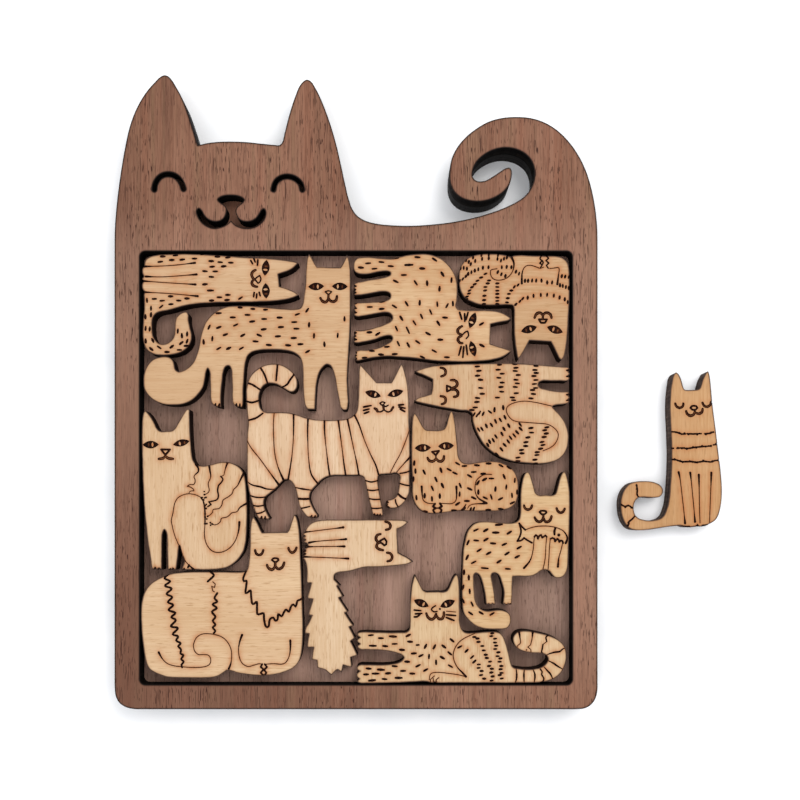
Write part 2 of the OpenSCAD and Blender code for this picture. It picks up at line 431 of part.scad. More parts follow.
// sits in the bottom left corner, head up to the right, long chest fur
CHEST = [[253.3, 516.6], [255.1, 518.9], [257.4, 522.9], [259.6, 527.7],
  [262.2, 532.6, 1], [287.2, 532, 1], [288.9, 529.3], [290.6, 523.9],
  [292.3, 519], [294.4, 514.6], [296, 516.2], [297.4, 520],
  [298.4, 525], [299.2, 530.5], [299.9, 539.5], [300.4, 548.5],
  [300.8, 558.7], [301.4, 570], [301.7, 581.3], [302, 592.6],
  [302.3, 603], [302.7, 612], [303.1, 621.4], [303.1, 632.1],
  [302.7, 643.3], [301.7, 652.2], [300, 658.9], [297.8, 663.5],
  [292.9, 668.2], [287.2, 671], [280.5, 673.3], [272.6, 674.9],
  [263.6, 675.7], [254.6, 675.5], [245.5, 674.4], [236.5, 672.7],
  [230.9, 671], [226.9, 670.4, 1], [223, 673.3], [218.5, 675.9],
  [212.8, 677.5], [204.9, 678], [193.6, 678], [182.4, 678],
  [173.3, 677.6], [165.5, 676.7], [159.8, 674.8], [154.2, 672.5],
  [150, 669.6], [147.2, 665.6], [145.4, 659.1], [143.7, 649],
  [142.3, 637.7], [141.4, 626.4], [141, 615.1], [141.2, 606.1],
  [142.2, 599.3], [144.3, 592.7], [147.6, 587.1], [152, 582.6],
  [157.6, 579.1], [163.2, 576.4], [168.8, 574.2], [174.5, 573],
  [182.4, 572.3], [191.4, 571.9], [202.7, 571.7], [213.9, 571.7],
  [225.2, 571.8], [236.5, 571.9], [242.6, 571.7], [246.3, 570.6],
  [248, 566.6], [249, 558.7], [249.7, 549.7], [250, 539.5],
  [250.2, 530.5], [250.6, 524.8], [251.4, 520]];

// stretched upright lying down, ragged sides and a bushy tail end
BUSHY = [[308, 526.2], [311.2, 523.2], [316.6, 520.9], [322, 520],
  [338.1, 519.7], [359.6, 519.6], [381.1, 519.6], [397.2, 519.8],
  [404, 520.2], [408.3, 521.9, 1], [404.7, 525.3], [401.5, 527.4],
  [397.1, 529, 1], [397.4, 535.7], [397.9, 544.3], [398.1, 552.7, 1],
  [402.6, 555.1], [408, 558], [413.2, 561.5, 1], [409, 563.6],
  [400.4, 565.2], [389.7, 566.3], [375.7, 567], [364.9, 567.4],
  [357.4, 569.1], [351, 571], [344.5, 572], [338.3, 572.7],
  [335, 574.4], [334, 577.1], [334.1, 579.6, 1], [337.4, 582.8, 1],
  [340.2, 585.7, 1], [337, 586.3, 1], [340.2, 591.6], [343.4, 596.8, 1],
  [338.8, 597.7, 1], [343.4, 605], [347.9, 611.8, 1], [344.7, 612.7, 1],
  [349, 619.4], [353.5, 625.8, 1], [349.2, 626.8, 1], [352.2, 632.4],
  [355.2, 638, 1], [350.6, 641.2, 1], [354.4, 648.4], [357.6, 655.4, 1],
  [350.8, 657.4, 1], [351.4, 662.4], [352, 667.3, 1], [347.6, 666.4],
  [343.2, 665, 1], [342.6, 669], [341.8, 672.7, 1], [340.2, 671.6],
  [337.7, 669.9], [334.8, 671.8], [331.6, 674.9], [328.9, 673.3],
  [325.2, 670.1], [320.9, 668.6], [317.4, 667.8, 1], [317, 663],
  [316.9, 660.5, 1], [311.5, 659.6, 1], [312.6, 652], [313.7, 647.3, 1],
  [306.9, 647.8, 1], [307.6, 641], [309, 633.8, 1], [304.9, 633.4, 1],
  [305.2, 629.6], [309, 621.8], [312, 615.4, 1], [308.3, 615, 1],
  [309.8, 608.9], [312.6, 599.2, 1], [307, 598.5, 1], [308.6, 592.7],
  [311.2, 583, 1], [306.4, 583.4, 1], [306.7, 576.6], [306.7, 570.1],
  [305.9, 563.7], [304.4, 559.6], [302.9, 557.6], [304.6, 556, 1],
  [302.6, 554.8], [305, 553, 1], [302.9, 551.3], [305.4, 549.9, 1],
  [303, 548.4], [307, 547.3], [307.8, 545.4], [306.8, 543.4],
  [303.2, 541.9], [305.4, 539.9, 1], [302.6, 537.9], [305.2, 536.2, 1],
  [302.4, 534.2], [305.2, 531.9], [305.8, 529.4]];

// crouches along the bottom, two forelegs to the left, striped tail right
CROUCH = [[414.9, 575.2], [416.6, 577.4], [418.7, 581.5], [420.9, 586.4],
  [423, 590.1], [425.6, 591.7], [430.6, 591.8], [437.1, 591.6],
  [443.4, 591.7], [446.6, 590.7], [448.5, 588.3], [450.7, 583.6],
  [452.8, 578.7], [454.8, 575.5], [456.7, 574.3], [458, 576.4],
  [458.9, 580.9], [459.3, 588.3], [459.5, 599.2], [459.6, 610.1],
  [459.7, 618.8], [460.4, 625], [462, 629.4], [464.4, 631.9],
  [468.7, 632.9], [473.1, 632.8], [479, 632.4], [485, 631.8],
  [491, 631.5], [496.4, 631.8], [500.3, 633.2], [503, 636.1],
  [504.8, 639.9], [506.6, 645], [508.3, 651], [509.6, 657.1],
  [510.9, 662.3], [512.2, 665.9], [514.2, 667.6], [517.8, 668.3],
  [523, 669.1], [529.1, 669.3], [535.1, 668.8], [540.3, 667.5],
  [543.9, 665.3], [546.8, 662.3], [548.1, 659.6], [547.7, 657.1],
  [545.9, 654.9], [542.9, 653.6], [538.6, 653.1], [531.7, 652.8],
  [525.6, 652], [520.6, 650.5], [517.1, 648.2], [514.6, 645],
  [513.1, 640.8], [513.4, 637], [515.4, 633.6], [518.4, 631.5],
  [522.1, 630.7], [527.3, 630.8], [533.4, 631.7], [540.3, 633.2],
  [547.2, 634.9], [552.4, 636.7], [557.6, 639.2], [561.8, 642.7],
  [564.3, 646], [566, 650.2], [566.6, 655.4], [566.4, 659.7],
  [565.4, 664], [563.7, 668.3], [561.1, 672.6], [557.3, 676.4],
  [553, 679.2], [548.8, 680.8], [543.8, 681.8], [536.9, 682.6],
  [526.5, 682.8], [513.4, 682.9], [491.6, 682.9], [458.9, 682.9],
  [446, 682.9], [436.4, 682.8, 1], [435, 681.6, 1], [433.4, 682.8, 1],
  [430, 682.4], [427, 681.6], [415.4, 681.8], [400.1, 682.5], [382.7, 683],
  [366.3, 683.2], [359, 682.8], [357, 681.4], [359.6, 678.8, 1],
  [357, 676.8], [356.6, 674], [359.8, 671, 1], [357.2, 669.6],
  [357, 667], [359.8, 664.8], [366.3, 664.5], [377.2, 664.7],
  [385.9, 664.6], [393.6, 663.8], [399, 662.2], [402.3, 660],
  [403.9, 657.4], [401.7, 655], [396.8, 653.2], [388.1, 651.2],
  [377.2, 650.1], [366.3, 649.7], [359.8, 649.2], [357.6, 647.4],
  [357.4, 645.8], [360.2, 643.9, 1], [357.3, 641.4], [357.3, 640],
  [360.4, 637.4, 1], [357.4, 635], [358, 633], [361.6, 632],
  [375, 632.1], [400, 632.3], [406.4, 631.9], [409, 629.9],
  [409.9, 624.4], [410, 615.6], [410.1, 604.7], [410.4, 596],
  [411.2, 588.3], [412.5, 581.8], [413.7, 577.3]];

// the loose cat: tall and narrow, its tail curled round to the left
LOOSE = [[676.3, 372.4], [677.9, 373.6], [680.1, 377], [681.7, 381.7],
  [683, 386.4], [684.6, 389.6], [687.4, 390], [691.5, 390],
  [695.3, 389.8], [698.6, 389.2], [700, 388], [700.9, 385.3],
  [702.4, 380], [704.6, 375.3], [706.5, 372.2], [708, 371.2],
  [708.9, 373.2], [710, 379], [710.9, 387.7], [711.8, 398.6],
  [713, 409.5], [714.4, 420.4], [715.8, 431.3], [717.1, 442.2],
  [718.2, 452], [719.3, 460.7], [720.4, 469.5], [721.3, 479.3],
  [721.8, 488], [721.7, 496.7], [720.9, 504.4], [719.6, 510.9],
  [717.6, 516.7], [714.9, 520.5], [711.7, 522.7], [708.9, 524.2],
  [706.6, 525.6], [702.4, 526.5], [697, 526.5], [690.4, 527.3],
  [685.4, 527.2], [681.4, 525.8], [675.2, 526], [666.4, 527],
  [657.7, 528.4], [649, 529.7], [640.3, 530.3], [633.8, 530],
  [629.2, 528.2], [625.4, 524], [622.7, 518.5], [621.2, 512],
  [620.7, 505.2], [621.2, 498], [623, 492.2], [626.3, 486.9],
  [630.6, 483.3], [635.9, 481.6], [643.6, 481.1], [651.2, 481.6],
  [656.6, 483.1], [660.8, 485.8], [662.9, 489.6], [662.4, 493.8],
  [660, 496.6], [655.6, 497.7], [649, 497.6], [643, 497.1],
  [638.3, 498], [635.2, 501.1], [633.7, 505.5], [633.7, 509.8],
  [635, 514.5], [638.2, 517.9], [643.6, 519.8], [650.1, 520.5],
  [656.6, 519.8], [661.2, 518], [664.4, 514.6], [666.4, 510],
  [667.8, 505.6], [668.9, 499.5], [669.8, 491.2], [670.5, 481.4],
  [671.1, 470.5], [671.5, 459.6], [671.5, 448.7], [671.1, 436.7],
  [670.6, 424.7], [670, 412.8], [670, 401.8], [670.7, 390.9],
  [671.9, 382.2], [673.6, 375]];

module packed(pts) {
  color([0.86, 0.69, 0.50]) sheet(mm(pts), base_t, cat_t);
}

module cat_lying() packed(LYING);
module cat_two_ears_spots() packed(SPOTS);
module cat_sideways() packed(SIDEWAYS);
module cat_upside_down() packed(UPSIDE);
module cat_striped_walker() packed(WALKER);
module cat_curled() packed(CURLED);
module cat_loaf() packed(LOAF);
module cat_sitting() packed(SITTING);
module cat_with_fish() packed(FISH);
module cat_long_chest() packed(CHEST);
module cat_bushy_tail() packed(BUSHY);
module cat_crouching() packed(CROUCH);
module cat_loose() {
  color([0.84, 0.65, 0.46])
  translate([loose_x, loose_y, 0]) sheet(mm_loose(LOOSE), 0, cat_t);
}

tray_base();
tray_frame();
cat_lying();
cat_two_ears_spots();
cat_sideways();
cat_upside_down();
cat_striped_walker();
cat_curled();
cat_loaf();
cat_sitting();
cat_with_fish();
cat_long_chest();
cat_bushy_tail();
cat_crouching();
cat_loose();
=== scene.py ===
# A wooden cat puzzle: a two-sheet tray shaped like a big cat, twelve cats packed in its square pocket and one lying beside it.
# Every cat is a flat laser-cut sheet. Its burnt lines are cut into the top face as real grooves, and its edges are charred.
import math

import bpy
import numpy as np
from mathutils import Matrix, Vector
from mathutils.geometry import delaunay_2d_cdt


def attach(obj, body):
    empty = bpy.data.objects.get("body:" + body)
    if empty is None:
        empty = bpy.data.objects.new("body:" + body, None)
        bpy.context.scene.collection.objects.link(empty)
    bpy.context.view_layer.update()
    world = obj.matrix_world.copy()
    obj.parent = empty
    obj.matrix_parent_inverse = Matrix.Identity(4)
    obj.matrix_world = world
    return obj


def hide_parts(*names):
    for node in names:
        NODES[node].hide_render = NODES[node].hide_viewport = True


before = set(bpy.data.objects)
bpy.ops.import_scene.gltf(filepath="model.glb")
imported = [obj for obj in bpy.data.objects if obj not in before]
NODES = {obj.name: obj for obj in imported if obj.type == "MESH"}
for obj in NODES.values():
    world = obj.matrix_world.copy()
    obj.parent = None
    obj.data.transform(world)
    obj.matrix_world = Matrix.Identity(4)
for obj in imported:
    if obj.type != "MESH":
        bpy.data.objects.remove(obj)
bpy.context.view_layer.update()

G = 0.32                      # mm for one drawing unit
# ---------------------------------------------------------------- burnt lines
# One line of text each: a letter for the kind of stroke, then points x,y on the drawing grid.
# d angle length  dashes      t thin line      m medium line      T thick line      s thick in the middle
# a thin to thick     b thick to thin      c thick ends      z zigzag      y thin zigzag      o closed outline
# Z wavy line      n rough line      h hair or whisker      g thick ends, long fade      M, e a double line with a paler middle      O thick closed outline
# E x0,y0 x1,y1 height slit patch   an eye between two corners, with an unburnt slit and a paler patch      p filled shape      k round dot: x,y radius
LINES = {}
LINES["cat_lying"] = """
c 144.3,266.5 170,265.6 194.9,262.9
c 145.9,276.5 165,276.8 196.6,274.4
c 142.6,281 165,282.6 195.5,284.5
c 143.7,292.1 170,293.6 197.7,296.2
d 3 4.6 162.8,256.5 175.5,255.4 160.3,261.8 171.8,260 182.3,259.6 194.5,258.6 202.8,254 217.5,256.7 227.9,257.5 211.3,261.1
d 0 4.6 220.3,262.2 230.9,262.7 212.2,266.7 223.8,266.3 205,271.2 215.3,271.4 211.4,276.9 205,284.3 227.9,294.9 219.5,297.3 227.1,300
d 0 6 210.5,290.5
d 0 4.4 211.6,300.5 170.7,296.3 187,298.5 178.8,300.6 162.2,300.7 154.4,298.9 171,304.2 167.1,352 179.5,349.9 186.4,345.8
d 35 4.4 240.5,298.1 161.2,306.6 171.8,346.6 181.3,343
d 90 4.2 147,300.3 151,308.2 151,314.7 145.4,316.7 145.6,328.4 149.7,328.9 145.7,340.9 177.8,331 181.9,335.7 187.1,333.9
d 112 4.2 152.7,340.3
d 70 4.2 187.1,341.2
d -35 4.4 151.3,349.1 159.2,347.4
E 266.6,259.8 264.8,275.8 8 265.4,269.8 266,266
E 265.6,283 266.2,298.6 8 265.6,289.4 265.8,293.6
m 254.8,279.6 256.8,277.4 259.6,275.6 260.9,278.6 260,281.8 258,283.2
m 254.8,279.6 256.6,281.4 258,283.2
M 255.6,270 252.8,271.6 251.6,274.6 252.6,277.6 254.2,279.2
M 257.2,286.8 254.4,286.2 252.2,284.4 252,281.6 253.6,280
h 250.8,260.6 252.6,263.8
h 253.8,258.6 255.2,262
h 257.8,260 257.4,265.4
h 254.2,292.6 253.6,296.8
h 256.8,294 256.4,298
h 259.2,292.4 260.2,295.8
"""
LINES["cat_two_ears_spots"] = """
E 308,286.8 324.2,286.2 7.8 317.8,286.6 313.4,286.4
E 331.8,286.2 347.8,286.6 7.8 337.8,286.4 342.2,286.4
o 325.2,291.8 328.6,290.8 331.6,291.8 328.6,294.8
M 328.5,294.6 328.3,298.2
M 320.4,298 322,300.8 325,302.2 327.2,301 328.3,298.6
M 337,296.2 336.2,299.8 333.8,301.6 330.6,301 328.9,298.8
d 3 5 218.7,313.2 232.8,317.4 247.6,314.9 264.2,319 279.7,317.6 252.2,321.5 263.8,329.3 281,327.1 296.5,328.7
d 25 4.6 297.4,314.3 235.7,325 218.8,327.4 225.4,334.6 242.8,335.3 218.8,348.4 228.7,348.3 241.4,348.3 307.7,351.5
d 0 5 294.3,322.1 278,336.3 293.8,338 255.6,341.4 268.9,345 288.2,345.3 300.5,344.2
d 60 4.6 209.1,327.1 307.2,310.2
d -25 4.6 259.3,335.3
d 90 4.4 212.3,338.6 203.6,341.8 309.1,324.7 314,335.7 324.4,344.2 337.7,335.3 344.5,318.8
d 0 4 240.2,307.5 252.9,308.9 265.6,309.7
d 80 3.6 215.3,405.1 219.1,405.5 236.3,405.5 239.8,405.5 243,405.8
"""
LINES["cat_sideways"] = """
d 0 5 417.5,257.2 368.2,263.3 381.5,262.1 361,267.6 374.5,268.7 390.8,266.2 422.3,268.5 403.9,275 395.8,258 381.7,301.7 369.9,307
d -30 5 434.6,259.6 395.8,281.4 394.5,306.5 428.1,333.7 417.8,342.1 422.5,357.2 434.3,351.1 482,345.6
d 3 8 408.9,264.9
d -62 5 442.5,274.2 415.8,282.9 406.7,303.8 430.7,312 421.6,316.5 401.4,318.3 414.5,322.9 438.4,323.3 396.5,328.7 398.4,343.7 408.3,345
d -62 7 407.9,330.3
d 90 4.6 427.1,283.1 439.5,288.7 451.5,280 419.7,302.7 437.3,304.1 452.9,303.5
d 65 4.6 447.1,305.6
d 0 4.8 381.7,308.9 445.1,317.6 369.5,332.3 440.4,339.7 387,346.8 372,350.9 381.1,354.6 364.6,357.7 394.8,354.1 447,357.3
d 30 4.8 377.8,333.9 481.5,323.9
d 0 3.4 354.6,286.1 354.2,289.4 354.6,292.8 354.9,303.4 355.1,308.3 355.1,312.6 354.8,332.8 354.4,336.1 355,339.4 355,352.8 355,355.5 355.1,358.8
E 475.4,312.4 469.6,328.2 7.6 471.4,322.4 472.6,318
E 470.6,340.9 475,356.6 7.4 471.8,347.4 472.8,351.8
m 462.6,334.6 465.4,332 467.6,331.2 468.6,335.4 466.2,338.6
M 462,326.2 459.6,327.6 457.6,330.4 458.6,333.4 461.6,334.8
M 462.4,343.2 459.8,342.8 458,340.2 458.8,337.4 461.6,335.8
h 459.6,312.4 461.8,319.4
h 464.6,313.8 464.8,321.4
h 468,312.6 466,319.8
h 461.2,346.6 458.8,355.2
h 463.8,346.8 462.8,357.4
h 466.2,345.2 467.4,354.6
"""
LINES["cat_upside_down"] = """
b 511.9,258 513.8,262.6 513.6,268 511.9,272.6 508.8,276.5 504.2,279.2 498.8,280.2 494.2,279.4 491.5,276.8 490.4,273.4 490.8,270.3 492.7,269.4 497,268.8
b 521.8,283.4 521.8,278.8 522.1,273.4 523.5,268.8 526.2,266 529.6,265.3 533.5,266 537.3,267.4 540.4,268.4 543.5,267.2
m 541.6,255.4 540,258.8 542.2,260.6 539.8,263.2 542.2,264.8 540.6,267.6
m 546,255.4 548.5,258.4 546,260.6 548.8,263.2 546.4,265.4 548.2,268.2
m 542.2,260.6 543.2,262.6 542.2,264.8
a 549.6,268.6 553.5,268.2 558,267.5 559.2,269.5 558.5,275 557.3,284.2
d 80 3 466.2,260.3 468.8,261.8 473.1,257.4 475.2,260.9 470.8,264 481.5,254.9 482.1,258.8 488.8,254.9 488.8,258.2 498.1,254.9 497.5,258.8 501,260.5 504,258.6 506.9,257.4
d 85 3 460.5,268.2 463.7,267.8 466.9,268.6 468.2,273.8 471.4,272.2 474.8,270.5 478.3,269.2 482.9,267.6 488.5,267.2 501.8,267.2 506.7,266.8 511.4,267.1
d 60 3 459.5,280.9 462.9,278.9 466,276.1
d 20 3.2 485.5,273.8 481.2,277.5 477.5,280.7 474.8,284.2 472.1,287.1 469.6,290.5 469,293.5 467.1,296.6 466.5,299.2
d 8 3.2 489.1,280.5 487.8,283.4 485.5,287 485.2,290.5 484.5,295.8 484.2,300.1 484,304
d 0 3.2 497.4,283.4 497.4,287 497.4,290.7 497.4,293.9 497.4,297.6 497.4,300.9 497.4,304
d 70 3 497.8,272 501.4,274.2 505.4,275.9 516,271.6 519.1,273.6
d 0 3 507.1,302.4 507.9,298.2 509,293.9 511.4,290.5
d 50 3 514.4,286.8 518.1,284.9 515.9,304.3 520,301.2 522.8,298.5
d 88 3.2 525,280.7 528.1,280.7 532.1,280.5 536.2,280.5 541.5,280.5 547.2,282.4 552.1,282.4 560,285.1 562.8,285.8 565.9,287 568.8,288
d 86 3.2 527.7,297.6 533.5,295.8 540.8,294.9 547.1,294.7 553.8,295.5 559.6,297.4 564.8,299.2 567.7,302
d 80 3 561.8,276.1 565.2,276.5 568.8,276.8
O 538.8,319.4 546.9,319.4 545,322.8 541,322.8
M 542.8,319.2 542.9,315.8
M 534.6,317.8 536,314.5 538.8,312.7 541.4,313.4 542.7,315.4
M 542.9,315.4 544.4,313.4 547.3,312.7 550.4,314.5 551.5,317.8
E 521,331.6 537,326.8 8 530.6,329 526.4,330.2
E 546.9,326.8 562.9,332.4 8 553.4,329.2 557.8,330.6
"""
LINES["cat_striped_walker"] = """
h 246.7,383 252,384.5 260,389.6
h 260.2,367.3 264.4,374.4 267.5,383
h 277.6,363.4 276.9,371.6 276.1,380.6
h 294.4,374 290,380 287,384.5 282.6,387
h 245.6,401 252,402.5 259,400.4
h 248.4,420.3 256,418 262.8,413.3
a 274.2,412 273.4,424.6 273.7,439 274.8,453.7 278,467 283.2,479.3
g 293.6,413.3 293.6,427 293.3,439 292.2,453.7 290.3,467 288.2,479.3
g 308,418 307.6,431 307.9,444.7 308.7,459.3 311.2,474 318,483.8
g 324.4,420 324.7,433.5 326.4,450.4 328,463.8 329.7,475.4
g 338.2,419.8 339.8,431.3 342,448 343.8,462.7 345.7,475.4
g 347.4,419 350,431.3 353.3,447 356.7,462.7 358.9,475.4
g 354.4,415 359,424.6 364.5,440.3 370.7,454.8 375.7,465 378.5,474.3
a 246.7,439.7 251.2,448 260.2,459.3 269.2,471.7 278.7,484.6
s 246.7,481.2 252.3,485 260.2,486.8 267,489 274.8,489.3
m 249.5,495.2 254.6,497 260.2,497.5 265.2,497
m 252.3,505.3 258,506.2 263.8,505.3
m 254.6,513.7 260.2,513 264.7,511
s 295,487.4 302.8,489 311.8,490.2
T 297.8,498.6 303.6,499 309.6,498.8
m 300,508.5 305,507.6 309.8,506.4
m 365,480.4 371.3,482 377.8,480.6
m 366.2,489.6 372.4,490.5 379,489.6
m 368.8,498.6 374.6,499.5 380.8,499.2
m 370,508 376.3,508.5 382.5,507.8
b 410.3,457 403.8,463.8 396.5,472.2
t 409.4,430 406,440 400.4,453.7 394.8,463.8 390.3,472.8
m 400,473.4 405,472.6 410,471
m 400,483.5 405,485 410,485.7
T 398.2,494 401.5,497 406,499.2
m 395.4,499.7 396,503 398.2,507
d -20 3.2 386.9,501.9 386,504.5 388.2,507.2
d 80 3.4 374.4,515.4 377,515.8 380,515.6 311.4,517 315,517 261.4,518 265,518
E 365,391.8 381,396.4 7.6 375.4,394.6 371,393.4
E 387.4,395.6 403.4,390.8 7.4 393.4,394 398,392.4
o 379.8,403.2 382.4,401.8 385,402.6 383.4,404.8 381.4,405
m 383.4,404.8 385.4,406.6 388.2,405.2
M 383.2,405.8 383.8,409.4
M 374.6,408.4 376.6,409.6 377.4,411.4
m 377.4,411.6 380.8,411.8 383.4,410.2
m 384.4,410.2 388,412 391.6,410.6
M 391.4,410 393.2,407.2
h 363.6,407 371,405.6
h 363.6,410.4 369,409
h 364.4,413.4 368.8,411.8
h 398.6,405 403.6,404.6
h 399,407 405,408.2
h 400.2,409 404.8,411.6
"""
LINES["cat_curled"] = """
d 0 4.4 477,362.7 477.4,366.5 479,370.8 477.6,375.7 480.6,379.8 480.8,388 482.3,393.8 477.6,398 477,402 475.2,407.5 472,410
d 60 4 474,414.4 477.3,415.2 479.5,412.8 483.2,413.7
d -40 4.2 490,412
d 90 4.2 494.5,409.6 503.2,407.5
d 0 4.2 499.6,364.8 498.2,369.7 502.2,373.7 499,377.8 502.2,382.6 501,387 501.8,391.7 497.5,397.6
d 0 4.2 515,364 516,367.8 515.3,371 518.3,375 516,379.8 517.4,383.4 515.3,387 516.3,393.2 512.4,397.5 513.7,400.2
d 0 4.2 536,366 535,370 536.3,373 534,376 536,380 534.5,384 535.7,388 532.7,390 533.5,394 531,398.4
d -62 4 505,417.4 500.4,420 495.6,421.4 491.5,425 486.4,426 482,429 478.7,429.7
d -58 4 508.8,425.7 504,429 502,434 496,436.6 493.3,440.3 489.6,441.7 487.8,445
d -50 4.2 520.2,424.6 520.7,429 517.2,432.4 514.3,435.5 510.6,437.8 508.3,441.5 504.7,445 501.5,449.4 497,454.6
d 4 4.2 531,428 531.6,432.6 528,437.4 526,442.2 525.8,446 521.5,450 522,453.3 518,457.6 518,461
d 6 4.2 547,427.3 544.8,430.2 546.4,433.5 544.2,437 542,442 543,445 540.7,448.7 537.3,452.2 537,455 535,459.7 535.4,463.4
t 551.5,406 545,404.5 536.5,402.6 525.8,401.2 517.2,402 509.7,404.8 506.5,408.5 507,413.3 510.8,418.7 516,421.4 525.8,422.4 536.5,423.2 546,424 552.5,426.7 557.3,431.5 558.2,436.4 555.7,442.8 550.4,447.6 543,450.8
d 10 4 568.5,370.2 568.5,376.2 568.5,394.5 568.5,400
e 440.7,367.8 443.4,368.4 445.2,370 445.6,373.2 444,375.4 441.2,376.4
e 440.7,396.2 443.4,396.6 445.2,397.9 445.7,401 444.4,403.2 441.7,404.2
O 446.8,385.6 450.6,387.2 450.9,389.8 447,391.4
M 450.8,380.2 454,380.1 456.4,381.6 457.3,384.4 455.4,387 451,388.3
M 451.4,389.6 455,389.6 457.4,391.2 458,394.2 456.6,396.4 454,396.8
"""
LINES["cat_loaf"] = """
d 90 4.4 414.2,463 415.4,471 413.4,479 459.6,494 478.3,492 514.8,480.3 506.3,487 495.4,489 517,492 512,495.3 416.4,497.6 424.6,495.7 432,498.8 439.8,496
d 0 4.8 464.5,466 477,465.3 488.7,463.5 473.8,472 483.3,473.8 491.5,478.5 467,501 488.4,510 500.8,509 425,511.6 454,510.3
d -28 4.8 449.2,469.7 457.7,463.7 501,465.7 509,467.7 455,473.2 469.7,476 469.8,489 485.3,498 473.8,498
d -68 4.8 424.2,472.2 441,470.3 436,479.5 442.5,485.6 432.4,488.4 460.3,485.6 504.2,476.7 491.3,497
d 60 4.8 478,482.7
d 28 4.8 484.6,479.4 500.6,498.8 512.4,502.8 457.7,503.8 463.5,509
b 421.7,486.6 422.2,495 423.5,500.4 428,503.2 434.2,503.6
b 456.4,486.6 456.6,495.7 455.5,501.2 451.5,503.6 446,503.6 440.5,503.2
T 435,503.8 433,506.4 435.4,508.2 433.2,510.2 434.6,512.6
T 440,503.4 441.8,506.2 439.4,508 441.6,510.2 440.2,512.6
m 435.4,508.2 439.4,508
a 491.7,474.4 485.4,474.4 480.7,476.4 476.4,480.7 475,487 475.6,493.3 478.3,498 482.3,500.8 486.6,503.2
b 486.6,503.2 482.3,503.6 474.4,504 469.7,505.5 467.7,508.3
d 70 3.4 470.8,509 473.8,508.7
s 466,504.3 463.7,508.3 462,511
E 414.6,448.2 431,447.6 8 425,447.8 420.6,448
E 438,446.4 454,445.6 8 444.4,446.2 448.8,446
O 432,451.8 439,450.8 435.8,455.2
m 435.8,455.4 436,458.2
M 427.6,457.8 428.6,460 430.8,461.3 433.8,461 435.8,458.8
M 436.4,458.8 438.4,461 441,461.4 443.4,459.6 444,456.2
"""
LINES["cat_sitting"] = """
E 142.6,444.8 158.9,444.5 7.8 152.5,444.6 148.4,444.6
E 172.9,444.8 189.6,441 7 179.8,443.6 184.4,442.6
O 161.1,449.5 170,449.5 165.4,455
m 165.4,453.8 165.4,456.6
M 165.3,456.2 162.8,458.3 158.8,458.9
M 165.5,456.2 168.4,458.3 173,458.9
b 195.9,464.3 198.3,468.2 198.1,472 195.5,474.2 193.9,477 195,479.2 195,482.5 193.3,484.7 190,484.5 187.3,486.3 190,486.9 193.3,489.1 193.9,490.8 190,491.3 188.9,493.5
t 201,497.4 196.6,495.2 192.2,494.1 187.8,493.8 182.3,495.2 177.9,497.9 175.1,502.3 173.7,507.8 172.9,513.3 171.3,520.5 172.4,526.5 174,533.1 176.8,540.9 179.5,546.4
c 179.5,546.4 181.8,553 184.5,559.6 187.8,564 194.4,570
m 201,497.9 203.3,501.2 204.6,507.8 205,514.4 205,524.3
a 205,524.3 204.4,532 204.9,538.7 206.6,544.2 209.9,549.1 214.3,551.9 219.8,552.4 225.3,550.8 230.8,546.9 235.2,540.9 237.7,534.3 238.9,528.8 239.4,522.1
k 202,497.7 1.2
k 204.6,497.9 1
k 206.3,504.4 1
k 204.9,511.6 1
k 206.8,519 1
k 206.8,523.6 1.1
k 210.6,525.2 1
k 204.2,491.6 .9
k 203.5,500 1.2
k 206,497.4 1.1
k 204.4,494.6 1.1
k 205,505.6 1.3
k 206,508.4 1.2
k 205.1,513.9 1.2
k 205.1,517.2 1.2
k 207.7,516.3 1.1
k 205,523.8 1.3
k 210.4,522.7 1.1
k 212.4,524.1 1.1
b 209.1,464.9 209.9,470.4 210.7,477 208.2,483.6 209.3,490.2 207.7,493 204.9,494.6
b 227.7,462.4 225.9,467.1 224.4,472.6 223.7,475.3 220.7,476.4
m 220.7,476.4 222.9,479.2 220.9,483 218.7,485.2 217.6,490.2 218.4,495.7 217,499.6 212.1,501.2 208.8,501.8
m 208.8,501.8 211,504.5 207.7,506.7
b 243.5,473.7 240.7,479.2 237.4,485.8 233.6,489.6 232.1,493.5 228.6,496.6 223.1,500.1 222,504.5 219.2,508.4 213.2,509.5 212.6,512.2 209.9,515 207.1,516.6
b 247.9,502.9 243.5,505.1 239.6,507.8 236.9,511.7 231.9,512.8 229.7,515 226.4,517.2 221.4,518.3 220.7,521 218.1,523.8 214.3,524.9 211,523.2
d 80 3.4 155.1,568.9 158.6,569.8 170,570 173.3,570 184,569.7
d 60 3.4 188.6,566.2
"""
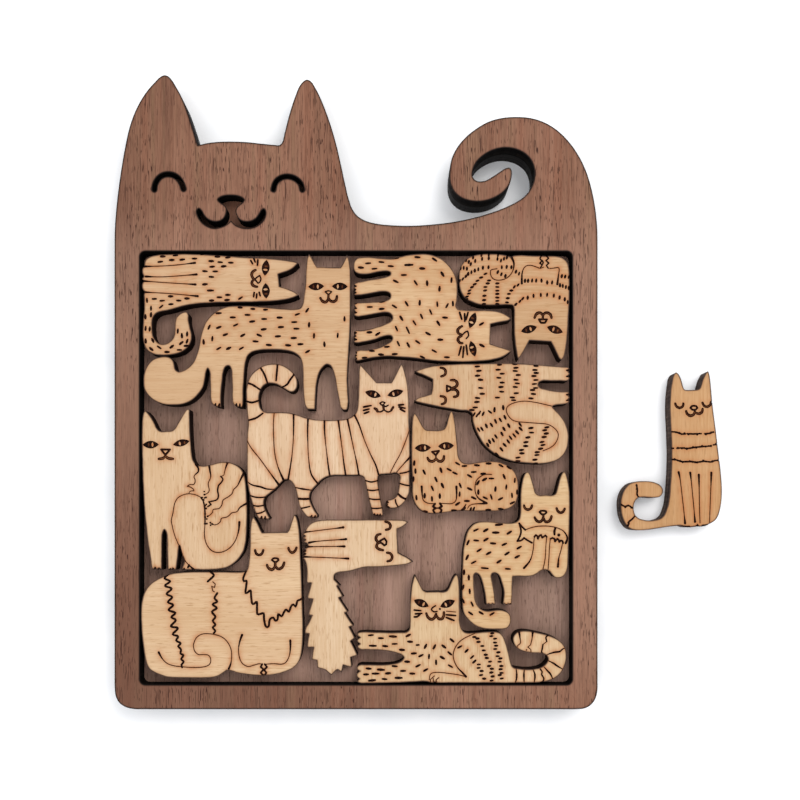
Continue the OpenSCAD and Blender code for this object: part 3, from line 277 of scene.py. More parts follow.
LINES["cat_with_fish"] = """
d 5 7 499,524.7
d 5 6.4 495.8,532.6
d 28 5 476,530 485.8,530.2 509.3,532.6 486,539.6 504.4,544.3 519.2,547.6 479.2,550.2 488.7,553.2 507.1,553.5 517.3,556.7 473.7,562.3 499.1,561.5
d 62 5 468,542.5 467.2,557.3
d 0 5 476.3,540.5 493.1,543.4 507.9,568.9
d 0 7 484.9,568.2
d 90 4.6 464,572.2 468.8,577.5 469.7,591.3
d 75 4.6 463,587.2
d 110 4.6 463.2,600.8 472.1,604
d -30 4.8 470.7,613.4 481.2,613
d 25 4.8 492.1,613.9
d 85 3.6 488.7,606.6 492.4,606 506.3,606 510,605.2
e 524,505.4 525,508.3 528,509.7 530.9,508.3 532,505.4
e 556.6,508.3 557.7,511 560.4,512.8 563.3,511.5 564.7,508.7
O 539.5,512.1 540.6,511 543.3,510.7 545.9,511.2 546.5,512.6 544.3,514.4 541.9,514.4
M 543.3,514.8 543.3,518.5
M 534.7,517.4 536.1,520.1 539,521.9 541.9,520.6 543,518
M 543.8,518.5 544.9,521.2 547.5,521.9 550.2,520.1 551.5,516.3
z 532,542.8 527.7,540.4 524,537.9 521.3,540.4 517.3,541.1 519.2,537.7 520.8,533.4 520.8,529.2 519.2,523.3 521.8,526.5 525.3,529.9
a 525.3,529.9 529.9,528.1 536.3,526.5 543.8,526 551.3,526.5 557.7,528.1 563.1,530.8 566.3,535 567.3,538.8 565.7,543.1
T 555.4,528.1 554.4,531.2 554.5,534.5
k 558.8,535 1.7
z 534.4,536.9 535.8,535 537.4,536.1 537.9,538.8 539.5,535.6 541.1,535 542.2,537.7 543.8,536.6 545.4,535.4 546.7,536.9
a 534.4,536.9 533.8,542 533.3,548.4 531.8,555.9 529.3,561.8 524,568
t 546.7,536.9 545.9,545.2 545.4,555.9 544.3,563.4 542.9,569.2
z 550.5,538.8 552.4,537.9 554.5,538.8 555,541.5 557.2,538.8 558.8,539.9 559.3,542 560.9,540.4 562.5,541.1 563.1,543.1
t 550.2,539.3 549.4,548.4 548.9,558 548.1,569.2
a 562.5,543.6 560.9,550.5 558.8,558 557.9,566.6
"""
LINES["cat_long_chest"] = """
Z 168.8,573.9 164.5,578.4 170.2,581.3 164.9,585.8 171.7,588.6 166.6,593.9 172.2,597.1 167.9,602.1 173.3,605 168.6,610 175.4,612.9 171.3,617.2 175.8,620.2 170.9,626.4 177.9,628.1 172.8,634.3 178.2,636.3 176.2,640.5 180.7,643.3 178.2,646.2 181,649.5 180.5,653.5 183.5,655.2 181.2,659.1 183.7,661.6 181.5,664.8 182.1,667.3
Z 210.3,571.7 213.9,575.1 211.1,578.4 207.7,581.5
y 212.8,581.8 215.3,584.1 214.5,587.5 211.7,586.3 212.8,590.9 214.3,591.8
Z 217.3,593.1 214.5,598.2 217.3,601.6 212.6,604.4 216.8,608.1 212,611.7 215.4,616.8 212.8,620.8 215.4,624.7 212.8,627.5 215.3,630.9 213.7,633.2
c 228.8,668.7 230.9,663.1 231.7,655.8 230.9,649 228,642.8 223,637.7 216.2,634.9 208.3,633.7 201.5,634.3 196.5,637.7 194.2,642.2 193.4,646.2 194.8,651.2 198.2,654.4 203.8,654.6 208.3,655.2 210.6,658.6 210.3,663.1 207.2,665.9 200.4,667.3 191.4,667.4 182.4,666.8 174.5,665.9 167.7,663.7 162.6,659.1 158.7,652.4
Z 246.1,571.1 243.3,577.9 243.8,581.3 246.6,580.7 246.1,586.9 245.5,593.1 248.3,592 250.6,590.3 251.2,597.1 252.1,603.3 254,603.8 256.8,601.8 257,608.4 257.4,614 260.2,614 263.6,613.4 264.1,619.6 265.8,626.4 268.6,626.4 269.8,619.6 273.2,617.6 275.4,620.8 277.7,619.1 278.2,614 281.6,616.3 283.9,612.3 286.1,609.5 288.9,611.7 291.2,606.1 293.5,604.4 295.7,606.7 297.4,601 299.7,599.9 302.5,598.2
b 242.1,634.9 239.9,641.1 238.5,649 239.3,656.9 242.1,663.1 247.8,666.5 253.4,665.3 259.1,663.7 262.4,664.2
a 265.8,664.2 273.7,663.7 281.6,664.2 286.1,662 289.3,655.8 290.4,647.9 290.3,640.5
z 262.2,664.2 260.7,667 263.6,669.3 260.7,672.7 263,674.9
z 264.7,664.2 267,667 264.1,669.9 266.4,672.7 264.7,674.9
e 255.1,550.2 256.2,553.6 259.1,555.1 261.9,553.6 263.3,550.2
e 288.4,548 289.5,550.8 292.1,552.7 295.1,550.8 296.5,547.6
O 271.8,560 273.2,558.5 275.4,558.1 278,558.7 278.5,560 276.5,561.9 274.3,561.9
M 275.2,562.2 275.2,566.6
M 267,564.9 268.1,567.7 271.7,569.8 274.3,567.7 275.2,565.5
M 275.4,566 277.3,568.6 279.9,568.8 282.7,566.6 284.2,562.6
"""
LINES["cat_bushy_tail"] = """
c 303.1,532.2 309,531.7 324,529.8 338.1,528.1 343.4,527.3
c 309,542.7 314.9,541.6 328,540.4 342.4,539.5 346.1,539.1
c 305.8,546.8 311.2,546.7 325,546.5 338.1,546.4 344.5,546.4
c 303.7,556.7 310.1,557 326,557.6 342.4,558.3 348.3,558.6
d 0 3.6 303.1,535.9 303.7,539.8 304.2,551 304.2,554
e 385.4,521.7 388.6,522.6 390.5,525.5 389.5,528.7 385.9,529.8
e 387,552.7 390.2,553.4 392.2,556.7 390.8,560.2 387.5,561.3
O 384.3,538.4 386.5,541.1 386.2,544.3 384.3,545.4 381.1,542.7 378.4,541.9
M 380.5,534.1 377.3,535.1 375.9,538.4 377.3,541.6 380,542.7
M 379.5,542.7 377.3,543.8 376.6,547 378.9,549.1 383,550.2
"""
LINES["cat_crouching"] = """
d 0 5 370.9,635.2 381,638.2 394.7,643.9 385.2,646.1 402.1,649.9 394.7,666.2 368.7,668.6 403.1,670.9 388.1,673.3 366.1,674.4 384.6,679.1
d 0 4.8 410.1,641.7 413.9,653.4 407.2,661.7 412.4,673.6
d 0 7 393,636.5 372.9,645.8 381,669.7 375.6,673.6 398.7,677.9 372.1,680.4
d 28 4.8 408.3,635.4 418.1,665.7 425.7,670 421,655.6 459.8,646.9
d 60 4.6 425.5,646.3 434.4,646.8
d -35 4.8 443.9,646.6 452.1,640.4 442.4,657.7 449.9,653.4 450.5,666.2
d 90 4.4 429,656.4 436.1,662.2
d 40 4.2 466.6,650.8 472.2,657 474.4,661.5
d 0 3.2 417.8,645
d 4 3.2 474.4,637 477.6,638.5 478.6,641.9 482.4,646 483.8,650.4 485.8,654.8 486.9,658 490.1,661.6 489.1,666 491.9,668.8 491.4,672.5 492.7,676.4 491.7,680.5
d 4 3.2 478.9,664.5 478.7,667.9 481.7,671 481.1,675.1 484.3,678.7
d 4 3.2 492.3,633.3 491.4,636.1 495.1,638.7 495.1,642.6 496.2,645.7 495.3,649 498.5,652.3 497.7,656.2 500.5,658.4 499.7,661.7 501.4,666 500.7,669.2 501.6,672.9 499.8,675 501.8,678.5
a 475,633.3 469.8,635.6 464.6,638.1 459.4,641.9 455.5,647.1 453.4,652.8 453.4,658 455.5,664 458.6,668.8 462.5,672.7 465.9,676.6
t 465.5,676.8 458.9,674.9 448,673.3 439.3,672.4 432.8,672.8 430.1,674.9 429.3,679.8
y 434.4,676 430.6,679.3 430.5,682
y 433.3,678.5 433.3,682
y 438.8,677.7 436.1,679.8 436.6,682.6
b 519.1,632 520,638 520.4,643.2 517.4,645.8 517.2,648.9
b 532.7,632 532.4,635.5 531.7,640.6 530.4,645
t 530.4,645 527.8,647.1 530.8,649.7 530.8,652.8
k 526.5,649.9 .8
m 548.1,635.5 545.9,637.2 546.8,641.5
t 546.8,641.5 542.9,644.5
m 542.9,644.5 542.5,647.6 541.6,651.9 542.9,653.6
s 566.3,648 562.8,648.9 559.8,651.5 554.2,652.3 548.5,654.1 546.4,655.4
s 548.1,660.6 553.3,663.2 557.6,666.2 562.8,669.2
s 544.2,667.1 547.2,670.5 550.7,674.4 552.7,679.2
m 540.3,669.2 542.2,671.8 541.6,674.4 543.8,678.3 542.9,681.3 540.3,682.6
s 533,669.7 534.7,673.5 534.9,677.9 534.1,682.6
s 524.3,669.2 523.9,674.4 524.1,682.6
s 516.1,668.8 516.7,674.4 516.3,679.6 515.2,683.1
E 413.8,600 428.8,606.4 7.8 423.6,604.2 419,602.4
E 440.2,606.8 455,600.6 7.8 445.8,604.6 450.2,602.6
m 435.5,605.8 432.8,607.4 431.5,609.6 433.9,611.8 437.1,611.4
k 439.9,609 1.2
M 426.3,613.4 427.9,617.2 431.2,619.4 434.4,617.8 436.1,613.9
M 436.6,615.6 438.2,618.3 441.5,619.1 443.7,616.1 443.9,612.3
h 414.3,610.1 420.8,610.7
h 415.4,613.9 421.9,613.4
h 414.3,616.9 417,616.7 420,614.5
t 446.4,611.2 455.7,612
h 446.4,614.8 455.7,615.6
h 446.4,617.5 454,620.5
"""
LINES["cat_loose"] = """
n 671.9,431.8 676.3,432.2 681.7,434 685.5,434
n 687.1,433.7 692.6,434 698,433.7 701.3,433.7
n 704.6,433.7 710,433.3 713.3,431.8
n 671.7,448.2 673.5,448.4
n 676.8,448.4 681.7,447.9 687.1,448.5 694.8,447.4 702.4,446.6 711.1,446
n 713.3,444.9 716.3,444.6
n 670.8,459.4 676.3,459.9 681.7,461.6 692.6,461.6 694.8,462.4 699.1,462 704.6,461.3 711.1,462 714.9,460.5 718.2,460.5
c 678.6,472.2 680.1,479.3 682.2,496.7 684.4,516.4 685,523.4
c 690.2,472.7 691.5,483.6 693.7,506.5 695,521.8
b 698.8,474.7 699.1,485.8 699.5,507.6 700,522.9
b 711.3,472.7 710.9,485.8 710.2,502.2 709.5,522.9
T 681.7,526.2 685,526.8 689.3,526.6
p 695.4,526.6 697.4,523.4 699.6,526.4
T 702.4,525.6 706,525.4 710,524.5
n 636.5,484.7 637.3,490.2 637,494.5 638.7,497.3
n 620.7,504.4 625.1,506.5 628.3,505.5 632.7,508
n 635.1,515.8 632.1,519.1 628.9,521.8 628.9,524 626.7,526.2
e 675.2,403.5 676.3,406.2 679.5,407.9 682.8,406.2 683.3,403.5
e 702.4,402.7 704,405.7 706.8,406.8 710,405.1 711.1,401.9
O 690.4,407.9 692,406 694,405.8 696.2,406.2 697.4,407.9 695.6,409.8 692.4,409.8
t 694,409.8 694.2,411.7
M 686.1,411.1 687.1,413.8 690.4,415.8 693.7,414.4 694.8,411.7
M 695.9,412.8 698.6,413.8 701.8,412.2 702.6,408.9
"""

# ---------------------------------------------------------------- plan geometry, in mm
WIDTHS = {"t": (1.0, 1.05, 1.0), "m": (1.6, 1.7, 1.5), "T": (2.3, 2.5, 2.2), "s": (1.0, 2.0, 1.0), "a": (1.0, 1.15, 2.5),
          "b": (2.5, 1.15, 1.0), "c": (2.5, 1.1, 2.5), "z": (2.0, 2.0, 2.0), "y": (1.15, 1.15, 1.15), "o": (1.5, 1.5, 1.5), "w": (1.2, 1.2, 1.2),
          "M": (2.5, 3.2, 2.6), "h": (2.0, 2.2, 1.8), "O": (2.15, 2.15, 2.15), "e": (2.5, 2.9, 2.5), "Z": (2.2, 2.35, 2.2), "n": (1.7, 2.0, 1.6),
          "g": (2.1, 1.05, 2.0)}
DEPTH = 0.28                  # mm, how deep the burnt lines are


def place(p, loose):
    if loose:
        return ((392 - 356) * G + (p[0] - 392) * 0.326, (468 - 520) * G + (520 - p[1]) * 0.326)
    return ((p[0] - 356) * G, (468 - p[1]) * G)


def turn(a, b, c):
    u, v = (b[0] - a[0], b[1] - a[1]), (c[0] - b[0], c[1] - b[1])
    return abs(math.atan2(u[0] * v[1] - u[1] * v[0], u[0] * v[0] + u[1] * v[1]))


def smooth(pts):
    """Even points along a soft curve through pts."""
    if len(pts) < 3:
        out = [pts[0]]
        n = max(1, int(math.dist(pts[0], pts[1]) / 0.6))
        return out + [(pts[0][0] + (pts[1][0] - pts[0][0]) * k / n, pts[0][1] + (pts[1][1] - pts[0][1]) * k / n) for k in range(1, n + 1)]
    p = [pts[0]] + list(pts) + [pts[-1]]
    out = [pts[0]]
    for i in range(1, len(p) - 2):
        a, b, c, d = (np.array(q) for q in p[i - 1:i + 3])
        n = max(1, int(math.ceil(math.dist(b, c) / 0.55)))
        for k in range(1, n + 1):
            t = k / n
            q = 0.5 * (2 * b + (c - a) * t + (2 * a - 5 * b + 4 * c - d) * t * t + (3 * b - a - 3 * c + d) * t ** 3)
            out.append((float(q[0]), float(q[1])))
    return out


def disc(c, r, n=8):
    return [(c[0] + r * math.cos(2 * math.pi * (k + .5) / n), c[1] + r * math.sin(2 * math.pi * (k + .5) / n)) for k in range(n)]


def swell(w, at, total, reach):
    """The half width at a distance along a line: w at its start, middle and end. reach is how far an end's own width fades."""
    r = max(1e-6, min(reach, .42 * total))
    if at < r and at <= total / 2:
        return w[0] + (w[1] - w[0]) * at / r
    if total - at < r:
        return w[2] + (w[1] - w[2]) * (total - at) / r
    return w[1]


def ribbon(pts, w, polys, thin=None, reach=99.0):
    """A strip of quads along pts with a round end at both ends; w is the half width at the start, middle and end. Its narrow parts go to thin."""
    n = len(pts)
    run = [0.0]
    for a, b in zip(pts, pts[1:]):
        run.append(run[-1] + math.dist(a, b))
    left, right, slim = [], [], []
    for i, p in enumerate(pts):
        a, b = pts[max(0, i - 1)], pts[min(n - 1, i + 1)]
        d = math.dist(a, b) or 1e-9
        nx, ny = -(b[1] - a[1]) / d, (b[0] - a[0]) / d
        k = swell(w, run[i], run[-1], reach)
        slim.append(thin is not None and k < .205)
        k *= 1 + .07 * math.sin(7.3 * run[i] + p[0])
        left.append((p[0] + nx * k, p[1] + ny * k))
        right.append((p[0] - nx * k, p[1] - ny * k))
    for i in range(n - 1):
        (thin if slim[i] and slim[i + 1] else polys).append([right[i], right[i + 1], left[i + 1], left[i]])
    (thin if slim[0] else polys).append(disc(pts[0], w[0]))
    (thin if slim[-1] else polys).append(disc(pts[-1], w[2]))
    return list(zip(pts, pts[1:]))


def lens(p0, p1, h, n=9):
    """An almond between two corners, h high."""
    d = math.dist(p0, p1)
    ux, uy = (p1[0] - p0[0]) / d, (p1[1] - p0[1]) / d
    out = []
    for s in (1, -1):
        for k in range(n):
            t = k / n if s > 0 else 1 - k / n
            y = s * h / 2 * math.sin(math.pi * t) ** .8
            out.append((p0[0] + ux * d * t - uy * y, p0[1] + uy * d * t + ux * y))
    return out


def strokes(text, loose):
    """The burnt lines as polygons: dark ones, lighter ones and unburnt spots inside them, with the centre lines for the scorch around them."""
    dark, pale, inner, light, mids = [], [], [], [], []
    for row in text.strip().splitlines():
        f = row.split()
        kind = f[0]
        if kind == "d":
            ang, length = math.radians(float(f[1])), float(f[2]) * G
            for i, s in enumerate(f[3:]):
                c = place([float(v) for v in s.split(",")], loose)
                w = 0.5 * G * (2.55 + .3 * math.sin(12.9 * c[0] + 4.1 * c[1]))
                a = ang + .09 * math.sin(5.1 * c[0] + 2.3 * c[1])
                h = length / 2 - w * .25
                dx, dy = math.cos(a) * h, math.sin(a) * h
                mids += ribbon([(c[0] - dx, c[1] - dy), c, (c[0] + dx, c[1] + dy)], (w * .8, w, w * .7), dark)
        elif kind == "E":
            p0, p1 = (place([float(v) for v in s.split(",")], loose) for s in f[1:3])
            h = float(f[3]) * G
            sl = place([float(v) for v in f[4].split(",")], loose)
            dark.append(lens(p0, p1, h))
            d = math.dist(p0, p1)
            nx, ny = -(p1[1] - p0[1]) / d * h * .3, (p1[0] - p0[0]) / d * h * .3
            light.append(lens((sl[0] - nx, sl[1] - ny), (sl[0] + nx, sl[1] + ny), 2.1 * G, 5))
            if len(f) > 5:
                sm = place([float(v) for v in f[5].split(",")], loose)
                inner.append(lens((sm[0] - nx * .8, sm[1] - ny * .8), (sm[0] + nx * .8, sm[1] + ny * .8), 1.7 * G, 5))
            mids.append((p0, p1))
        elif kind == "p":
            q = [place([float(v) for v in s.split(",")], loose) for s in f[1:]]
            dark.append(q)
            mids.append((q[0], q[len(q) // 2]))
        elif kind == "k":
            c = place([float(v) for v in f[1].split(",")], loose)
            dark.append(disc(c, float(f[2]) * G))
            mids.append((c, (c[0] + .01, c[1])))
        else:
            q = [place([float(v) for v in s.split(",")], loose) for s in f[1:]]
            w = tuple(v * G / 2 for v in WIDTHS[kind])
            if kind in "oO":
                q = q + [q[0]]
            runs = [[q[0]]]
            for i in range(1, len(q)):
                runs[-1].append(q[i])
                sharp = 35 if kind in "zyoO" else 999 if kind == "Z" else 80
                if i < len(q) - 1 and turn(q[i - 1], q[i], q[i + 1]) > math.radians(sharp):
                    runs.append([q[i]])
            total = sum(math.dist(a, b) for a, b in zip(q, q[1:])) or 1
            at, reach = 0.0, {"a": 4.2, "b": 4.2, "c": 2.6}.get(kind, 99.0)
            for r in runs:
                length = sum(math.dist(a, b) for a, b in zip(r, r[1:]))
                ws = w if len(runs) == 1 else tuple(swell(w, at + length * t, total, reach) for t in (0, .5, 1))
                at += length
                out = light if kind == "w" else pale if kind in "ty" else dark
                mids += ribbon(smooth(r), ws, out, pale if kind in "sabcg" else None, reach)
                if kind == "n":
                    for i, c in enumerate(smooth(r)[1::2]):
                        u, v = math.sin(7.7 * i + c[0]), math.sin(3.9 * i + c[1])
                        dark.append(disc((c[0] + .10 * u, c[1] + .16 * v), G * (1.08 + .38 * math.sin(1.9 * i + 2 * c[0]))))
                if kind in "Me":
                    v = .12 if kind == "M" else .09
                    ribbon(smooth(r), (v * .8, v, v * .8), inner)
    return dark, pale, inner, light, mids


def to_segments(pts, segs):
    """The distance from each point to the nearest segment."""
    best = np.full(len(pts), 1e9)
    a = np.array([s[0] for s in segs]); d = np.array([s[1] for s in segs]) - a
    ll = np.maximum((d ** 2).sum(1), 1e-12)
    for i in range(0, len(pts), 4000):
        q = pts[i:i + 4000, None, :] - a[None]
        t = np.clip((q * d).sum(2) / ll, 0, 1)
        best[i:i + 4000] = np.sqrt(((q - t[..., None] * d) ** 2).sum(2).min(1))
    return best


def outline_loops(node):
    """The loops round the top face of a flat CAD node, in mm, outer one first, with the heights of its top and underside in m."""
    o = NODES[node]
    me = o.data
    co = np.array([(o.matrix_world @ v.co)[:] for v in me.vertices])
    top, low = co[:, 2].max(), co[:, 2].min()
    key = {}
    ids = [key.setdefault((round(c[0], 7), round(c[1], 7)), len(key)) for c in co]
    flat = list(key)
    edges = {}
    for p in me.polygons:
        vs = [i for i in p.vertices]
        if all(co[i][2] > top - 1e-6 for i in vs):
            vs = [ids[i] for i in vs]
            ax = sum(flat[a][0] * flat[b][1] - flat[b][0] * flat[a][1] for a, b in zip(vs, vs[1:] + vs[:1]))
            if ax < 0:
                vs = vs[::-1]
            for a, b in zip(vs, vs[1:] + vs[:1]):
                if (b, a) in edges:
                    del edges[(b, a)]
                else:
                    edges[(a, b)] = 1
    nxt = {}
    for a, b in edges:
        nxt.setdefault(a, []).append(b)
    loops = []
    while nxt:
        s = next(iter(nxt))
        loop, at = [], s
        while at in nxt:
            loop.append(at)
            b = nxt[at].pop()
            if not nxt[at]:
                del nxt[at]
            at = b
            if at == s:
                break
        loops.append([(flat[i][0] * 1000, flat[i][1] * 1000) for i in loop])
    loops.sort(key=lambda q: -abs(sum(a[0] * b[1] - b[0] * a[1] for a, b in zip(q, q[1:] + q[:1]))))
    return loops, float(top), float(low)


def inside(pts, loop):
    x, y = pts[:, 0], pts[:, 1]
    hit = np.zeros(len(pts), bool)
    for (x0, y0), (x1, y1) in zip(loop, loop[1:] + loop[:1]):
        if y0 != y1:
            hit ^= ((y0 > y) != (y1 > y)) & (x < (x1 - x0) * (y - y0) / (y1 - y0) + x0)
    return hit


def covered(pts, polys):
    """Which points lie in any of the polygons."""
    hit = np.zeros(len(pts), bool)
    order = np.argsort(pts[:, 0])
    xs = pts[order, 0]
    for q in polys:
        lo, hi = np.min(q, axis=0), np.max(q, axis=0)
        i, j = np.searchsorted(xs, (lo[0], hi[0]))
        sel = order[i:j]
        sel = sel[(pts[sel, 1] >= lo[1]) & (pts[sel, 1] <= hi[1]) & ~hit[sel]]
        if len(sel):
            hit[sel] = inside(pts[sel], list(q))
    return hit


def sheet_piece(name, node, body, mats, text="", loose=False, fine=0.42, coarse=1.26, far=2.0, step=0.5, rings=(0.2, 0.5), rim_width=0.38):
    """A flat sheet with the CAD node's outline and thickness, with grooves for the burnt lines. mats: face, dark groove, pale groove, edge."""
    loops, top, low = outline_loops(node)
    dark, pale, inner, light, mids = strokes(text, loose) if text else ([], [], [], [], [])
    ring_loops = []
    for q in loops:
        out = []
        for a, b in zip(q, q[1:] + q[:1]):
            n = max(1, int(round(math.dist(a, b) / step)))
            out += [(a[0] + (b[0] - a[0]) * k / n, a[1] + (b[1] - a[1]) * k / n) for k in range(n)]
        ring_loops.append(out)
    segs = [s for q in ring_loops for s in zip(q, q[1:] + q[:1])]
    pts, faces = [], []

    def add(poly):
        ids = list(range(len(pts), len(pts) + len(poly)))
        ar = sum(p[0] * q[1] - q[0] * p[1] for p, q in zip(poly, poly[1:] + poly[:1]))
        faces.append(ids if ar > 0 else ids[::-1])
        pts.extend(poly)
    for q in ring_loops:
        add(q)
    nl = len(ring_loops)
    for q in dark + pale + inner + light:
        add(q)
    # points just inside the edge, for the narrow burnt rim, and a grid of points over the face
    extra = []
    for q in ring_loops:
        for i, p in enumerate(q):
            a, b = q[i - 1], q[(i + 1) % len(q)]
            d = math.dist(a, b) or 1e-9
            nx, ny = -(b[1] - a[1]) / d, (b[0] - a[0]) / d
            for r in rings:
                extra.append((p[0] + nx * r, p[1] + ny * r, r * .93))
    extra = np.array(extra)
    keep = (to_segments(extra[:, :2], segs) > extra[:, 2])
    extra = extra[keep][:, :2]
    lo, hi = np.min(ring_loops[0], axis=0), np.max(ring_loops[0], axis=0)
    gx, gy = np.meshgrid(np.arange(int((hi[0] - lo[0]) / fine) + 1), np.arange(int((hi[1] - lo[1]) / (fine * .866)) + 1))
    grid = np.stack([lo[0] + (gx + .5 * (gy % 2)) * fine, lo[1] + gy * fine * .866], -1).reshape(-1, 2)
    k = max(1, int(round(coarse / fine)))
    every = ((gx % k == 0) & (gy % (k + k % 2) == 0)).reshape(-1)
    ok = inside(grid, loops[0])
    for q in loops[1:]:
        ok &= ~inside(grid, q)
    grid, every = grid[ok], every[ok]
    away = to_segments(grid, segs)
    near = to_segments(grid, mids) < far if mids else np.zeros(len(grid), bool)
    grid = grid[(away > rings[-1] + .12) & (near | every)]
    allp = [Vector(p) for p in pts] + [Vector(p) for p in np.concatenate([extra, grid])]
    v2, _, tris, _, _, of_ = delaunay_2d_cdt(allp, [], faces, 1, 1e-4, True)
    v2 = np.array([v[:] for v in v2])
    keep = []
    holes = set(range(1, nl))
    for t, o in zip(tris, of_):
        s = set(o)
        if 0 not in s or s & holes or len(t) != 3:
            continue
        a, b, c = (v2[i] for i in t)
        ar = (b[0] - a[0]) * (c[1] - a[1]) - (b[1] - a[1]) * (c[0] - a[0])
        t = list(t) if ar > 0 else list(t)[::-1]
        keep.append(t)
    mid = v2[np.array(keep)].mean(axis=1)
    lev = np.where(covered(mid, pale), 2, 0)
    lev[covered(mid, dark)] = 1
    lev[covered(mid, inner)] = 2
    lev[covered(mid, light)] = 0
    lev = lev.tolist()
    side = {}
    for i, t in enumerate(keep):
        for a, b in zip(t, t[1:] + t[:1]):
            side[(a, b)] = i
    verts, idx, quads, mat = [], {}, [], []

    def vert(i, level):
        if (i, level) not in idx:
            idx[(i, level)] = len(verts)
            z = (top, top - DEPTH / 1000, low)[level]
            verts.append((v2[i][0] / 1000, v2[i][1] / 1000, z))
        return idx[(i, level)]
    for t, l in zip(keep, lev):
        quads.append([vert(i, 1 if l else 0) for i in t])
        mat.append(l)
    rim_edges = []
    for (a, b), i in side.items():
        j = side.get((b, a))
        if j is None:
            rim_edges.append((a, b, lev[i]))
        elif not lev[i] and lev[j]:  # a wall between the face and a groove
            quads.append([vert(a, 1), vert(b, 1), vert(b, 0), vert(a, 0)])
            mat.append(lev[j])
    have = set(idx)
    for a, b, l in rim_edges:
        q = [vert(a, 2), vert(b, 2)]
        if l:
            q += [vert(b, 1), vert(a, 1)]
        else:
            q += ([vert(b, 1)] if (b, 1) in have else []) + [vert(b, 0), vert(a, 0)] + ([vert(a, 1)] if (a, 1) in have else [])
        quads.append(q)
        mat.append(3)
    nb = {}
    for a, b, _ in rim_edges:
        nb[a] = b
    chain, polys = dict(nb), []
    while chain:
        s = next(iter(chain)); q, at = [], s
        while at in chain:
            q.append(at); at = chain.pop(at)
        polys.append(q)
    polys.sort(key=lambda q: -abs(sum(v2[a][0] * v2[b][1] - v2[b][0] * v2[a][1] for a, b in zip(q, q[1:] + q[:1]))))
    flat = [i for q in polys for i in q]
    place_of, fs, n0 = {}, [], 0
    for q in polys:
        ids = list(range(n0, n0 + len(q))); n0 += len(q)
        fs.append(ids if q is polys[0] else ids[::-1])
    b2, _, bt, ov, _, bo = delaunay_2d_cdt([Vector(v2[i]) for i in flat], [], fs, 1, 1e-6, True)
    for t, o in zip(bt, bo):
        if 0 in o and not any(f > 0 for f in o) and all(ov[i] for i in t):
            a, b, c = (b2[i] for i in t)
            ar = (b[0] - a[0]) * (c[1] - a[1]) - (b[1] - a[1]) * (c[0] - a[0])
            t = list(t) if ar < 0 else list(t)[::-1]
            quads.append([vert(flat[ov[i][0]], 2) for i in t])
            mat.append(0)
    me = bpy.data.meshes.new(name)
    me.from_pydata(verts, [], quads)
    for m in mats:
        me.materials.append(m)
    me.polygons.foreach_set("material_index", mat)
    me.polygons.foreach_set("use_smooth", [True] * len(quads))
    me.set_sharp_from_angle(angle=math.radians(34))
    p2 = np.array(verts)[:, :2] * 1000
    rim = np.exp(-(to_segments(p2, segs) / rim_width) ** 1.6)
    at = me.attributes.new("rim", "FLOAT", "POINT")
    at.data.foreach_set("value", rim.astype(np.float32))
    sc = np.exp(-(to_segments(p2, mids) / 0.95) ** 1.4) if mids else np.zeros(len(p2))
    at = me.attributes.new("scorch", "FLOAT", "POINT")
    at.data.foreach_set("value", sc.astype(np.float32))
    me.validate()
    me.update()
    ob = bpy.data.objects.new(name, me)
    bpy.context.scene.collection.objects.link(ob)
    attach(ob, body)
    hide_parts(node)
    return ob


# ---------------------------------------------------------------- materials
def srgb(h):
    c = [int(h[i:i + 2], 16) / 255 for i in (0, 2, 4)]
    return tuple(((v + .055) / 1.055) ** 2.4 if v > .04045 else v / 12.92 for v in c) + (1,)


def wood(h):
    """A wood tone as it looks under the studio light, which is a little brighter than 1."""
    return tuple(v * .72 for v in srgb(h)[:3]) + (1,)


